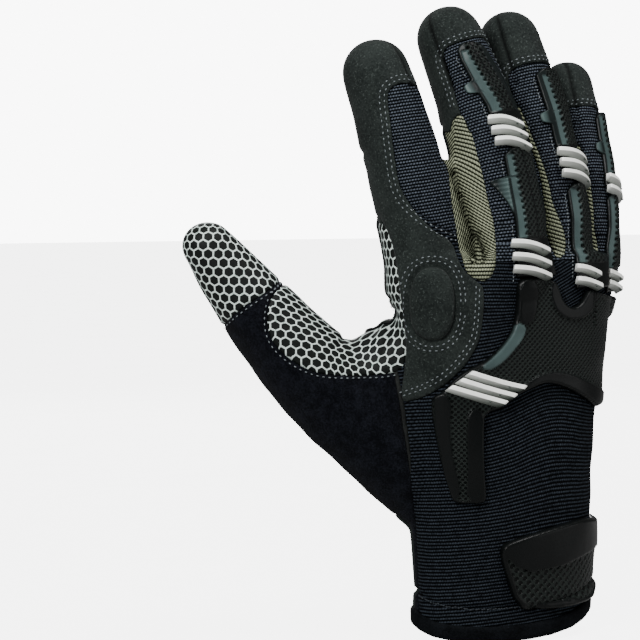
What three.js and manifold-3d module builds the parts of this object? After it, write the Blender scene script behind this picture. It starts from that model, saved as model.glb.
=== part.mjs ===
// Impact glove for the right hand, in its worn shape with the fingers half curled.
// Millimetres. +Z runs to the fingertips, -Y is the back of the hand, -X the thumb side.
// The origin is the middle of the wrist opening.

import * as THREE from "three";
import { mergeVertices } from "three/addons/utils/BufferGeometryUtils.js";
import Module from "manifold-3d";

const wasm = await Module();
wasm.setup();

// Driving dimensions
const WALL = 2; // knit, suede and leather
const GAP = 0.3; // seam between two neighbouring pieces
const PATCH_THICK = 1.4; // sewn-on patches
const GUARD_THICK = 2.7; // moulded rubber guards
const BAR_THICK = 1.6; // bars raised on the guards
const STRAP_THICK = 2.6;
const HEM_TOP = 6; // height of the binding round the hem
const CROTCH = 155; // height where the fingers part
const PALM_EDGE = 5; // depth at which the palm leather meets the back of the hand
const STRIP_HALF = 5; // half width of the side strips between the fingers
const GUARD_TURN = -32; // direction, in degrees about +Z, in which the back's outlines are drawn
const FAR = 90; // reach of a cut that goes right through
const HAND_SIDES = 20;
const FINGER_SIDES = 12;

// Sections of the hand from the hem to the knuckles: centre, half width, half depth.
const HAND = [
  { z: 0, x: -1, y: 0, wide: 39, deep: 20 },
  { z: 40, x: -1.5, y: 0, wide: 39.5, deep: 23.5 },
  { z: 75, x: -2, y: 0, wide: 41, deep: 24 },
  { z: 105, x: -2, y: 0, wide: 44.5, deep: 22.5 },
  { z: 135, x: -1, y: -2, wide: 49, deep: 19.5 },
  { z: CROTCH, x: 0, y: -2, wide: 50, deep: 16 },
];

// Fingers: centre line from the knuckle to the middle of the tip, and the radius at both.
const FINGERS = {
  index: { x: -36, y: 2, tipX: -49, tipY: 17, tipZ: 223, radius: 15, tipRadius: 13 },
  middle: { x: -6, y: -7, tipX: -15, tipY: 17, tipZ: 237, radius: 13, tipRadius: 12.5 },
  ring: { x: 20, y: -7, tipX: 17.7, tipY: 23, tipZ: 237, radius: 12.5, tipRadius: 12 },
  little: { x: 43, y: 3, tipX: 47, tipY: 24, tipZ: 219, radius: 10.5, tipRadius: 10.5 },
};
const FINGER_ROOT = 128; // the fingers' lofts start inside the hand
const KNUCKLE = 150; // height of the row named by x and y above

// Sections of the thumb from its ball to the middle of its tip.
const THUMB = [
  { x: -28, y: 6, z: 62, wide: 22, deep: 17 },
  { x: -50, y: 16, z: 84, wide: 21, deep: 17 },
  { x: -73, y: 26, z: 104, wide: 17.5, deep: 15.5 },
  { x: -94, y: 36, z: 130, wide: 14.5, deep: 14 },
  { x: -111, y: 44, z: 152, wide: 12.5, deep: 12 },
];

// Sections of the web between thumb and index, from the hand outwards.
const WEB = [
  { x: -22, y: 2, z: 98, wide: 36, deep: 16 },
  { x: -34, y: 7, z: 99, wide: 34, deep: 15.5 },
  { x: -50, y: 14, z: 99, wide: 25, deep: 14 },
  { x: -62, y: 20, z: 99, wide: 17, deep: 11 },
];

// Outlines of the pieces on the back, across and up, drawn square to GUARD_TURN.
const OUTLINES = {
  thumbCap: [[-112.8, 122], [-109.6, 126], [-102.4, 132], [-95.6, 136.4], [-90, 140.4], [-84, 147],
    [-100, 180], [-145, 180], [-145, 110], [-122, 113]],
  thumbSaddle: [[-90.8, 137.6], [-93.2, 130.4], [-92.8, 120.8], [-87.6, 113.6], [-77.6, 107.2],
    [-67.6, 105.2], [-48.8, 105.2], [-40, 107.2], [-39.2, 117.6], [-41.6, 136], [-43.6, 153.2],
    [-48.4, 165.6], [-62, 165], [-60, 145], [-80, 146]],
  sidePanel: [[-48.4, 165.6], [-43.6, 153.2], [-41.6, 136], [-39.2, 117.6], [-40, 107.2], [-42, 94],
    [-34, 96], [-26, 100.4], [-20, 105.2], [-14, 112.4], [-10, 121.2], [-8.8, 139.2], [-11.2, 141.2],
    [-21.2, 156.8], [-29.2, 161.6], [-37.2, 170], [-42.6, 179.6], [-45.8, 204.4], [-47.4, 217],
    [-49, 240], [-80, 240], [-66, 190]],
  knitIndex: [[-40.8, 218.8], [-47.2, 214.8], [-45.6, 204.4], [-42.4, 177], [-37.2, 169], [-29.2, 160.6],
    [-21.2, 155.8], [-10, 155], [-16, 222]],
  terry: [[-42, 96], [-36.8, 61.2], [-35.2, 29.2], [-34, 0], [-70, 0], [-150, 90], [-150, 190],
    [-60, 190]],
  plate: [[3.6, 140.8], [17.6, 140.8], [20.4, 136.4], [25.6, 131], [30, 135.2], [38.4, 134], [48, 133],
    [48, 94], [39.2, 92.8], [35.6, 89.2], [28, 95.2], [20.8, 98.8], [13.6, 101.2], [6.4, 98],
    [-0.8, 92.4], [-4.4, 91.2], [-8.8, 89.2], [-10, 86], [-9.6, 73.6], [-8.4, 56.8], [-9.2, 53.6],
    [-20.4, 54.8], [-21.6, 57.6], [-25.6, 71.2], [-28.4, 86], [-29.2, 96.8], [-25.6, 98],
    [-23.2, 101.2], [-16, 106.8], [-12, 110], [2.8, 124.4]],
  tab: [[-2.8, 37.2], [-0.8, 39.6], [28.8, 45], [48, 43.2], [48, 15], [34, 13], [14.8, 11.2],
    [7.2, 12.4], [1.6, 18.8]],
};

// Finger guards in the same view: each band's corners from the thumb side's top, clockwise.
const GUARDS = {
  middle_upper: [[-19.6, 233], [-10, 232.4], [4, 214], [9.6, 196], [9, 189.4], [-5, 205], [-9, 211]],
  middle_lower: [[-1.6, 189.2], [10, 187], [22, 170], [20.6, 146.6], [5, 143.6], [3.2, 160.8], [-6, 170]],
  ring_upper: [[9.2, 225], [16, 224.4], [27, 218], [36, 180], [33, 176.6], [21, 183], [20, 196], [12, 210]],
  ring_lower: [[24, 180], [34, 172], [40, 150], [39, 138], [30.2, 139.6], [29, 148]],
  little_upper: [[36.4, 209.6], [40, 210], [52, 205], [54, 170], [41, 171.6], [38.8, 196]],
  little_lower: [[44, 166.6], [54, 168], [54, 137], [41, 137], [42, 152]],
};

// Bars on the guards: finger segment, left end, right end, rise of the curve between them.
const BARS = {
  middle_upper: { count: 3, from: [-6.4, 206], to: [10.4, 198.2], step: [1.4, -4.4], rise: 2.4 },
  middle_lower: { count: 3, from: [4.2, 157.2], to: [20, 153], step: [0.8, -4.4], rise: 1.6 },
  ring_upper: { count: 3, from: [21.6, 192.8], to: [34, 186.6], step: [0.8, -4.4], rise: 1.6 },
  ring_lower: { count: 2, from: [29.6, 145.6], to: [42, 143], step: [0.4, -4.4], rise: 1 },
  little_upper: { count: 2, from: [40.8, 182], to: [52, 179], step: [0.2, -4.4], rise: 0.8 },
  little_lower: { count: 2, from: [41, 143.6], to: [52, 141], step: [0, -4.4], rise: 0.8 },
  plate: { count: 3, from: [-15, 106], to: [6, 99.6], step: [-3.7, -2.8], rise: 1.5 },
};
const BAR_WIDE = 2;

// Knuckle pad: an upright oval on the side panel.
const PAD = { across: -29.2, up: 133.2, halfWide: 8.4, halfHigh: 14, corners: 14 };

// Outlines seen from the palm, across towards the thumb and up.
const PALM_OUTLINES = {
  patch: [[-34, 147], [-28, 153], [-16, 136], [-13, 154], [-6, 159], [20, 152], [36, 160], [46, 160],
    [45, 120], [43, 100], [46, 66], [38, 54], [-11, 47], [-23, 58], [-28, 85], [-16, 103], [-31, 112]],
  strap: [[-48, 42], [-29, 32], [-14.8, 26.4], [-1.2, 26], [8.8, 30.8], [15.6, 34.4], [37, 35.2],
    [39, 31.6], [34.8, 9.2], [30, 8], [-6.4, 8], [-29.2, 10], [-48, 16]],
  inset: [[4, 25], [15, 30], [35, 31.4], [33, 26.4], [7, 24]],
  loop: [[-37, 43], [-25, 43], [-25, 55], [-37, 55]],
};

const COLOURS = {
  suede: "#2a2d2b",
  leather: "#1d201f",
  knit: "#15161d",
  khaki: "#8c866c",
  terry: "#0e0f16",
  print: "#6f7f79",
  rubber: "#1c201f",
  white: "#e9eee6",
  webbing: "#101114",
};

function look(colour, roughness = 0.9) {
  return new THREE.MeshStandardMaterial({ color: COLOURS[colour], roughness, metalness: 0 });
}

// A closed geometry as a solid that can be joined and cut.
function toSolid(geometry) {
  const bare = geometry.clone();
  bare.deleteAttribute("normal");
  bare.deleteAttribute("uv");
  const merged = mergeVertices(bare, 1e-4);
  const mesh = new wasm.Mesh({
    numProp: 3,
    vertProperties: new Float32Array(merged.attributes.position.array),
    triVerts: new Uint32Array(merged.index.array),
  });
  return new wasm.Manifold(mesh);
}

// The largest closed body of a solid, as a geometry: crumbs left by a cut are dropped.
function toGeometry(solid) {
  const bodies = solid.decompose();
  bodies.sort((a, b) => b.volume() - a.volume());
  const mesh = bodies[0].getMesh();
  const geometry = new THREE.BufferGeometry();
  geometry.setAttribute("position", new THREE.BufferAttribute(mesh.vertProperties, 3));
  geometry.setIndex(new THREE.BufferAttribute(mesh.triVerts, 1));
  geometry.computeVertexNormals();
  return geometry;
}

// A closed skin through oval rings, each square to the line through their centres.
function loft(rows, side, sides, squareness) {
  const centres = rows.map((row) => new THREE.Vector3(row.x, row.y, row.z));
  const points = [];
  const triangles = [];
  const bulge = (value) => Math.sign(value) * Math.abs(value) ** (2 / squareness);
  rows.forEach((row, i) => {
    const before = centres[Math.max(i - 1, 0)];
    const after = centres[Math.min(i + 1, rows.length - 1)];
    const along = row.along ?? after.clone().sub(before).normalize();
    const across = side.clone().addScaledVector(along, -side.dot(along)).normalize();
    const out = along.clone().cross(across);
    for (let k = 0; k < sides; k += 1) {
      const angle = (2 * Math.PI * (k + 0.5)) / sides;
      const point = centres[i].clone();
      point.addScaledVector(across, row.wide * bulge(Math.cos(angle)));
      point.addScaledVector(out, row.deep * bulge(Math.sin(angle)));
      points.push(point.x, point.y, point.z);
      if (i > 0) {
        const next = (k + 1) % sides;
        const low = (i - 1) * sides;
        triangles.push(low + k, low + next, low + sides + next);
        triangles.push(low + k, low + sides + next, low + sides + k);
      }
    }
  });
  const first = points.length / 3;
  const top = first - sides;
  points.push(centres[0].x, centres[0].y, centres[0].z);
  points.push(centres.at(-1).x, centres.at(-1).y, centres.at(-1).z);
  for (let k = 0; k < sides; k += 1) {
    const next = (k + 1) % sides;
    triangles.push(first, next, k);
    triangles.push(first + 1, top + k, top + next);
  }
  const geometry = new THREE.BufferGeometry();
  geometry.setAttribute("position", new THREE.Float32BufferAttribute(points, 3));
  geometry.setIndex(triangles);
  return toSolid(geometry);
}

// Rows that close a loft with a rounded end of the last row's size.
function roundEnd(rows) {
  const last = rows.at(-1);
  const before = rows.at(-2);
  const along = new THREE.Vector3(last.x - before.x, last.y - before.y, last.z - before.z).normalize();
  const reach = (last.wide + last.deep) / 2;
  return [0.55, 0.9].map((rise) => {
    const shrink = Math.sqrt(1 - rise * rise);
    return {
      x: last.x + along.x * reach * rise,
      y: last.y + along.y * reach * rise,
      z: last.z + along.z * reach * rise,
      wide: last.wide * shrink,
      deep: last.deep * shrink,
      along,
    };
  });
}

function inflate(rows, by) {
  return rows.map((row) => ({ ...row, wide: row.wide + by, deep: row.deep + by }));
}

// Centre of a finger at a height: the curl and the splay grow towards the tip.
function fingerCentre(finger, z) {
  const share = Math.max(0, (z - KNUCKLE) / (finger.tipZ - KNUCKLE));
  return {
    x: finger.x + (finger.tipX - finger.x) * share ** 1.1,
    y: finger.y + (finger.tipY - finger.y) * share ** 1.5,
    z,
  };
}

function fingerRows(finger) {
  const rows = [{ ...fingerCentre(finger, FINGER_ROOT), wide: finger.radius * 0.7, deep: finger.radius * 0.7 }];
  const steps = 4;
  for (let i = 0; i <= steps; i += 1) {
    const z = KNUCKLE + ((finger.tipZ - KNUCKLE) * i) / steps;
    const radius = finger.radius + ((finger.tipRadius - finger.radius) * i) / steps;
    rows.push({ ...fingerCentre(finger, z), wide: radius, deep: radius });
  }
  return rows;
}

// The whole glove as one solid, its skin moved out by a distance.
function shape(by) {
  const hand = inflate(HAND, by);
  hand[0].z = -Math.abs(by) - 2;
  hand.at(-1).z += by;
  const acrossHand = new THREE.Vector3(1, 0, 0);
  const acrossThumb = new THREE.Vector3(0.848, -0.53, 0);
  const upward = new THREE.Vector3(0, 0, 1);
  let solid = loft(hand, acrossHand, HAND_SIDES, 2.3);
  for (const finger of Object.values(FINGERS)) {
    const rows = inflate(fingerRows(finger), by);
    solid = solid.add(loft([...rows, ...roundEnd(rows)], acrossHand, FINGER_SIDES, 2));
  }
  const thumb = inflate(THUMB, by);
  solid = solid.add(loft([...thumb, ...roundEnd(thumb)], acrossThumb, FINGER_SIDES, 2));
  return solid.add(loft(inflate(WEB, by), upward, FINGER_SIDES, 2));
}

// An outline moved outwards, corner by corner.
function grown(outline, by) {
  const area = outline.reduce((sum, [x, y], i) => {
    const [nextX, nextY] = outline[(i + 1) % outline.length];
    return sum + x * nextY - nextX * y;
  }, 0);
  const points = area > 0 ? outline : [...outline].reverse();
  return points.map(([x, y], i) => {
    const [beforeX, beforeY] = points[(i + points.length - 1) % points.length];
    const [afterX, afterY] = points[(i + 1) % points.length];
    const one = new THREE.Vector2(y - beforeY, beforeX - x).normalize();
    const two = new THREE.Vector2(afterY - y, x - afterX).normalize();
    const corner = one.clone().add(two);
    const reach = Math.min(2 / Math.max(corner.lengthSq(), 0.2), 4);
    return [x + corner.x * by * reach, y + corner.y * by * reach];
  });
}

// An upright outline pushed along the horizontal direction square to it.
function prism(outline, turn, near, far, grow = 0) {
  const angle = THREE.MathUtils.degToRad(turn);
  const across = new THREE.Vector3(Math.cos(angle), Math.sin(angle), 0);
  const up = new THREE.Vector3(0, 0, 1);
  const out = across.clone().cross(up);
  const plan = new THREE.Shape(grown(outline, grow).map(([x, y]) => new THREE.Vector2(x, y)));
  const depth = far - near + 2 * grow;
  const geometry = new THREE.ExtrudeGeometry(plan, { depth, bevelEnabled: false });
  const place = new THREE.Matrix4().makeBasis(across, up, out);
  place.setPosition(out.clone().multiplyScalar(near - grow));
  return toSolid(geometry.applyMatrix4(place));
}

const seenFromBack = (outline, near = 0, far = FAR) => (grow) =>
  prism(outline, GUARD_TURN, near, far, grow);
const seenFromPalm = (outline, near = 2, far = FAR) => (grow) => prism(outline, 180, near, far, grow);

// A slab between two heights.
const slab = (low, high) => (grow) => prism([[-200, low], [200, low], [200, high], [-200, high]], 0, -200, 200, grow);

// Between two upright curves, each a function of the height, square to the front or the side.
function between(left, right, low, high, turn, steps = 3) {
  const heights = Array.from({ length: steps + 1 }, (_, i) => low + ((high - low) * i) / steps);
  const outline = heights.map((z) => [left(z), z]);
  outline.push(...heights.reverse().map((z) => [right(z), z]));
  return (grow) => prism(outline, turn, -200, 200, grow);
}

const both = (one, two) => (grow) => one(grow).intersect(two(grow));
const either = (...regions) => (grow) =>
  regions.map((region) => region(grow)).reduce((sum, solid) => sum.add(solid));

// The stretch of a finger between its neighbours.
const names = Object.keys(FINGERS);
function edgeBetween(i) {
  if (i < 0) return () => -95;
  if (i >= names.length - 1) return () => 80;
  const one = FINGERS[names[i]];
  const two = FINGERS[names[i + 1]];
  return (z) => {
    const left = fingerCentre(one, z).x + one.radius;
    const right = fingerCentre(two, z).x - two.radius;
    return (left + right) / 2;
  };
}
const fingerCell = (i, low, high) => between(edgeBetween(i - 1), edgeBetween(i), low, high, 0);

// Above a slanted line over a finger, lower on the palm side.
function tipRegion(i) {
  const finger = FINGERS[names[i]];
  const slant = [[-60, finger.tipZ + 6], [80, finger.tipZ - 42], [80, 270], [-60, 270]];
  return both(fingerCell(i, 185, 270), (grow) => prism(slant, 90, -200, 200, grow));
}

// The palm side of a finger.
function fingerFront(i) {
  const finger = FINGERS[names[i]];
  const front = between((z) => fingerCentre(finger, z).y + STRIP_HALF, () => 90, CROTCH - 6, 245, 90);
  return both(fingerCell(i, CROTCH - 6, 245), front);
}

// An outline drawn on the back of a finger.
function onFinger(i, outline) {
  const finger = FINGERS[names[i]];
  const back = between(() => -FAR, (z) => fingerCentre(finger, z).y, FINGER_ROOT, 250, 90);
  return both(both(fingerCell(i, FINGER_ROOT, 250), back), seenFromBack(outline, -FAR));
}

// The facing sides of two neighbouring fingers and the crotch that joins them.
function stripRegion(i) {
  const one = FINGERS[names[i]];
  const two = FINGERS[names[i + 1]];
  const low = CROTCH - 5;
  const top = Math.min(one.tipZ, two.tipZ) - 16;
  const band = (finger) =>
    between(
      (z) => fingerCentre(finger, z).y - STRIP_HALF,
      (z) => fingerCentre(finger, z).y + STRIP_HALF,
      low,
      top,
      90,
    );
  const middle = edgeBetween(i);
  const leftHalf = between((z) => fingerCentre(one, z).x + 3, middle, low, top, 0);
  const rightHalf = between(middle, (z) => fingerCentre(two, z).x - 3, low, top, 0);
  const bridgeAcross = between(() => one.x + 6, () => two.x - 6, low, CROTCH + 3, 0, 1);
  const lowY = Math.min(one.y, two.y) - STRIP_HALF;
  const highY = Math.max(one.y, two.y) + STRIP_HALF;
  const bridgeDeep = between(() => lowY, () => highY, low, CROTCH + 3, 90, 1);
  return either(both(leftHalf, band(one)), both(rightHalf, band(two)), both(bridgeAcross, bridgeDeep));
}

// A curved bar: its upper and lower edges are arcs of the same rise.
function barOutline({ from, to, step, rise }, i) {
  const parts = 3;
  const edge = (half) =>
    Array.from({ length: parts + 1 }, (_, k) => {
      const share = k / parts;
      const lift = rise * 4 * share * (1 - share);
      return [
        from[0] + step[0] * i + (to[0] - from[0]) * share,
        from[1] + step[1] * i + (to[1] - from[1]) * share + lift + half,
      ];
    });
  return [...edge(BAR_WIDE / 2), ...edge(-BAR_WIDE / 2).reverse()];
}

// A piece of the skin between two distances outside the glove's surface.
const layers = new Map();
function layer(inner, outer) {
  const key = `${inner}:${outer}`;
  if (!layers.has(key)) layers.set(key, shape(outer).subtract(shape(inner)));
  return layers.get(key);
}

const glove = new THREE.Group();
function addPiece(name, solid, material) {
  if (solid.isEmpty()) throw new Error(`${name} is empty`);
  const mesh = new THREE.Mesh(toGeometry(solid), material);
  mesh.name = name;
  glove.add(mesh);
}

// The wall is shared out panel by panel, each cut taking its seam gap with it.
let rest = shape(0).subtract(shape(-WALL)).intersect(slab(0, 300)(0));
function takePanel(name, region, material) {
  addPiece(name, rest.intersect(region(0)), material);
  rest = rest.subtract(region(GAP));
}

takePanel("cuff_binding", slab(-1, HEM_TOP), look("webbing"));
names.forEach((name, i) => takePanel(`fingertip_${name}`, tipRegion(i), look("suede")));
takePanel("thumb_cap", seenFromBack(OUTLINES.thumbCap, -FAR), look("print"));
takePanel("thumb_saddle", seenFromBack(OUTLINES.thumbSaddle, 8), look("print"));
takePanel("thumb_terry", seenFromBack(OUTLINES.terry, 14), look("terry"));
for (let i = 0; i < names.length - 1; i += 1) {
  takePanel(`side_strip_${names[i]}_${names[i + 1]}`, stripRegion(i), look("khaki"));
}
takePanel("index_knit", onFinger(0, OUTLINES.knitIndex), look("knit"));
takePanel("index_side_panel", seenFromBack(OUTLINES.sidePanel, 8), look("suede"));
const thumbFront = [[-50, 140], [-40, 96], [-36, 62], [-48, 40], [-150, 60], [-150, 190], [-56, 190]];
takePanel("thumb_front", seenFromBack(thumbFront, -FAR, 40), look("leather"));
const palmSide = (grow) => prism([[PALM_EDGE, 0], [90, 0], [90, CROTCH + 3], [PALM_EDGE, CROTCH + 3]], 90, -200, 200, grow);
takePanel("palm_leather", either(palmSide, ...names.map((name, i) => fingerFront(i))), look("leather"));
names.slice(1).forEach((name, i) => takePanel(`${name}_knit`, fingerCell(i + 1, CROTCH - 6, 260), look("knit")));
addPiece("back_knit", rest, look("knit"));

// Patches and moulded parts lie on the outside of the wall.
function addOverlay(name, region, inner, thick, material) {
  addPiece(name, layer(inner, inner + thick).intersect(region(0)), material);
}
const padOutline = Array.from({ length: PAD.corners }, (_, i) => {
  const angle = (2 * Math.PI * i) / PAD.corners;
  return [PAD.across + PAD.halfWide * Math.cos(angle), PAD.up + PAD.halfHigh * Math.sin(angle)];
});
addOverlay("knuckle_pad", seenFromBack(padOutline), GAP, PATCH_THICK, look("suede"));
addOverlay("palm_patch", seenFromPalm(PALM_OUTLINES.patch), GAP, PATCH_THICK, look("print"));
addOverlay("strap", seenFromPalm(PALM_OUTLINES.strap, 0.5), GAP, STRAP_THICK, look("rubber", 0.6));
const backHalf = between(() => -FAR, () => 0, -10, 60, 90, 1);
addOverlay("strap_tab", both(seenFromBack(OUTLINES.tab, -FAR), backHalf), GAP, STRAP_THICK, look("rubber", 0.6));
addOverlay("pull_loop", seenFromPalm(PALM_OUTLINES.loop), GAP, PATCH_THICK, look("webbing"));
addOverlay("strap_inset", seenFromPalm(PALM_OUTLINES.inset), 2 * GAP + STRAP_THICK, 1, look("print", 0.6));
addOverlay("guard_plate", seenFromBack(OUTLINES.plate), GAP, GUARD_THICK, look("rubber", 0.6));
const fingerOf = (name) => names.findIndex((finger) => name.startsWith(finger));
for (const [name, outline] of Object.entries(GUARDS)) {
  addOverlay(`guard_${name}`, onFinger(fingerOf(name), outline), GAP, GUARD_THICK, look("rubber", 0.6));
}
for (const [name, bars] of Object.entries(BARS)) {
  for (let i = 0; i < bars.count; i += 1) {
    const outline = barOutline(bars, i);
    const region = name === "plate" ? seenFromBack(outline) : onFinger(fingerOf(name), outline);
    addOverlay(`bar_${name}_${i + 1}`, region, 2 * GAP + GUARD_THICK, BAR_THICK, look("white", 0.5));
  }
}

export default glove;
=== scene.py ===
"""Impact glove for the right hand, as worn, with the fingers half curled.

Millimetres in the tables and sizes below, metres in the finished meshes. +Z runs to the
fingertips, -Y is the back of the hand, -X the thumb side, and the origin is the middle of the
wrist opening.
"""

import logging
import math
from dataclasses import dataclass, field
from enum import Enum
from functools import partial
from typing import Callable, Iterable, Sequence

import bmesh
import bpy
import numpy as np
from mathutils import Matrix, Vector
from mathutils.bvhtree import BVHTree
from mathutils.kdtree import KDTree

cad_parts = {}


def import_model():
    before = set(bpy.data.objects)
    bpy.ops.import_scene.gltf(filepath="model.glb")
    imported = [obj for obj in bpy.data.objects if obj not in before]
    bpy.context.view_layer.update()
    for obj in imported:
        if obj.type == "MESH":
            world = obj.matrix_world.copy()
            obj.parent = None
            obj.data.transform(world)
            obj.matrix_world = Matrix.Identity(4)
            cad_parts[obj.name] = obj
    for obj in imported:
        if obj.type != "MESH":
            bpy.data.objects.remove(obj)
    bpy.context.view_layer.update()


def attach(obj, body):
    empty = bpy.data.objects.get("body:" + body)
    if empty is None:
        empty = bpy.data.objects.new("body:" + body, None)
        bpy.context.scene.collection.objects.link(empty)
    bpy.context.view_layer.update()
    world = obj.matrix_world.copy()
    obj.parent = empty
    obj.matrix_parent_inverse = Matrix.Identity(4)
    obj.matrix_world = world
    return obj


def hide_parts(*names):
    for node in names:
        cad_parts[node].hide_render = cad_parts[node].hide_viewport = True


LOG = logging.getLogger("impact_glove")
MM = 0.001

# The outlines of the back are drawn on an upright plane turned this far about +Z.
VIEW_TURN = math.radians(-32.0)
ACROSS = np.array([math.cos(VIEW_TURN), math.sin(VIEW_TURN), 0.0])
AWAY = np.array([-math.sin(VIEW_TURN), math.cos(VIEW_TURN), 0.0])

Array = np.ndarray
Field = Callable[[Array], Array]


# Colours and shader nodes


def linear(hex_colour: str) -> tuple[float, float, float, float]:
    """Turn an sRGB hex colour into linear values.

    Args:
        hex_colour: Six hex digits after a hash sign.

    Returns:
        Red, green, blue and an alpha of 1.
    """
    parts = [int(hex_colour[i : i + 2], 16) / 255 for i in (1, 3, 5)]
    values = [p / 12.92 if p <= 0.04045 else ((p + 0.055) / 1.055) ** 2.4 for p in parts]
    return (values[0], values[1], values[2], 1.0)


def per_metre(size_mm: float) -> float:
    """Give the texture scale at which one feature has a real size."""
    return 1.0 / (size_mm * MM)


class Shader:
    """A node material under construction, with one function that adds any node."""

    def __init__(self, name: str) -> None:
        """Start a material with one Principled shader and the Object coordinates.

        Args:
            name: The finish's plain name.
        """
        self.material = bpy.data.materials.new(name)
        self.material.use_nodes = True
        self.tree = self.material.node_tree
        self.surface = self.tree.nodes["Principled BSDF"]
        self.place = self.add("TexCoord", out="Object")

    def put(self, socket: bpy.types.NodeSocket, value: object) -> None:
        """Link an input to another node's output, or set its value.

        Args:
            socket: The input.
            value: The output or the value.
        """
        if isinstance(value, bpy.types.NodeSocket):
            self.tree.links.new(value, socket)
        else:
            socket.default_value = value

    def add(self, kind: str, *values: object, out: int | str = 0, **named: object) -> bpy.types.NodeSocket:
        """Add a node with its settings and links.

        Args:
            kind: The node's type, without the ShaderNode prefix.
            values: Values or outputs for its first inputs, in order.
            out: The output that is wanted, by place or name.
            named: Settings in lower case, inputs by capitalised name, or i6 for the input in place 6.

        Returns:
            The output.
        """
        made = self.tree.nodes.new("ShaderNode" + kind)
        inputs: dict[int | str, object] = dict(enumerate(values))
        for key, value in named.items():
            if key[0].isupper():
                inputs[key.replace("_", " ")] = value
            elif key[1:].isdigit():
                inputs[int(key[1:])] = value
            else:
                setattr(made, key, value)
        for key, value in inputs.items():
            self.put(made.inputs[key], value)
        return made.outputs[out]

    def finish(self, **sockets: object) -> bpy.types.Material:
        """Set the Principled shader's sockets.

        Args:
            sockets: Values or outputs by the socket's name, with _ for a space.

        Returns:
            The material.
        """
        for key, value in sockets.items():
            self.put(self.surface.inputs[key.replace("_", " ")], value)
        return self.material


@dataclass(frozen=True)
class Suede:
    """Microfibre suede, brushed: a matt surface with a short, slightly streaky nap."""

    name: str = "microfibre_suede_brushed"
    colour: str = "#141817"
    worn: str = "#262b29"
    specks: str = "#5a625e"
    crease: str = "#050606"
    nap_mm: float = 0.9
    speck_mm: float = 0.75
    patch_mm: float = 14.0

    def material(self) -> bpy.types.Material:
        """Build the finish.

        Returns:
            The material.
        """
        s = Shader(self.name)
        fine = s.add("TexNoise", s.place, Scale=per_metre(self.nap_mm), Detail=4.0)
        broad = s.add("TexNoise", s.place, Scale=per_metre(self.patch_mm), Detail=3.0)
        broad = s.add("Math", broad, 0.5, operation="MULTIPLY")
        share = s.add("Math", fine, 0.6, broad, operation="MULTIPLY_ADD")
        share = s.add("MapRange", share, 0.35, 0.75, interpolation_type="SMOOTHSTEP")
        colour = s.add("Mix", share, i6=linear(self.colour), i7=linear(self.worn), data_type="RGBA", out=2)
        # The nap's pale fibre ends are drawn larger than life, so that they show as specks.
        specks = s.add("TexNoise", s.place, Scale=per_metre(self.speck_mm), Detail=1.0)
        specks = s.add("MapRange", specks, 0.6, 0.74, interpolation_type="SMOOTHSTEP")
        specks = s.add("Math", specks, 0.28, operation="MULTIPLY")
        colour = s.add("Mix", specks, i6=colour, i7=linear(self.specks), data_type="RGBA", out=2)
        # The fold mark paints shade in the crease colour along the fingertip's dart seam.
        fold = s.add("Attribute", attribute_name="Fold", out="Fac")
        colour = s.add("Mix", fold, i6=colour, i7=linear(self.crease), data_type="RGBA", out=2)
        bump = s.add("Bump", Strength=0.8, Distance=0.28 * MM, Height=fine)
        return s.finish(
            Base_Color=colour, Roughness=0.9, Normal=bump,
            Specular_IOR_Level=0.05, Sheen_Weight=0.03, Sheen_Roughness=0.5,
        )


@dataclass(frozen=True)
class GrainLeather:
    """Synthetic leather with a fine pressed grain, which gives a soft low gloss."""

    name: str = "synthetic_leather_fine_grain"
    colour: str = "#0d0e0e"
    raised: str = "#1a1c1b"
    grain_mm: float = 1.1

    def material(self) -> bpy.types.Material:
        """Build the finish.

        Returns:
            The material.
        """
        s = Shader(self.name)
        cells = s.add("TexVoronoi", s.place, Scale=per_metre(self.grain_mm), out="Distance")
        grain = s.add("Math", cells, 0.6, operation="MINIMUM")
        broad = s.add("TexNoise", s.place, Scale=per_metre(12.0), Detail=3.0)
        share = s.add("MapRange", broad, 0.3, 0.7, interpolation_type="SMOOTHSTEP")
        colour = s.add("Mix", share, i6=linear(self.colour), i7=linear(self.raised), data_type="RGBA", out=2)
        bump = s.add("Bump", Strength=0.6, Distance=0.2 * MM, Height=grain)
        return s.finish(Base_Color=colour, Roughness=0.65, Normal=bump, Specular_IOR_Level=0.12)


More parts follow.
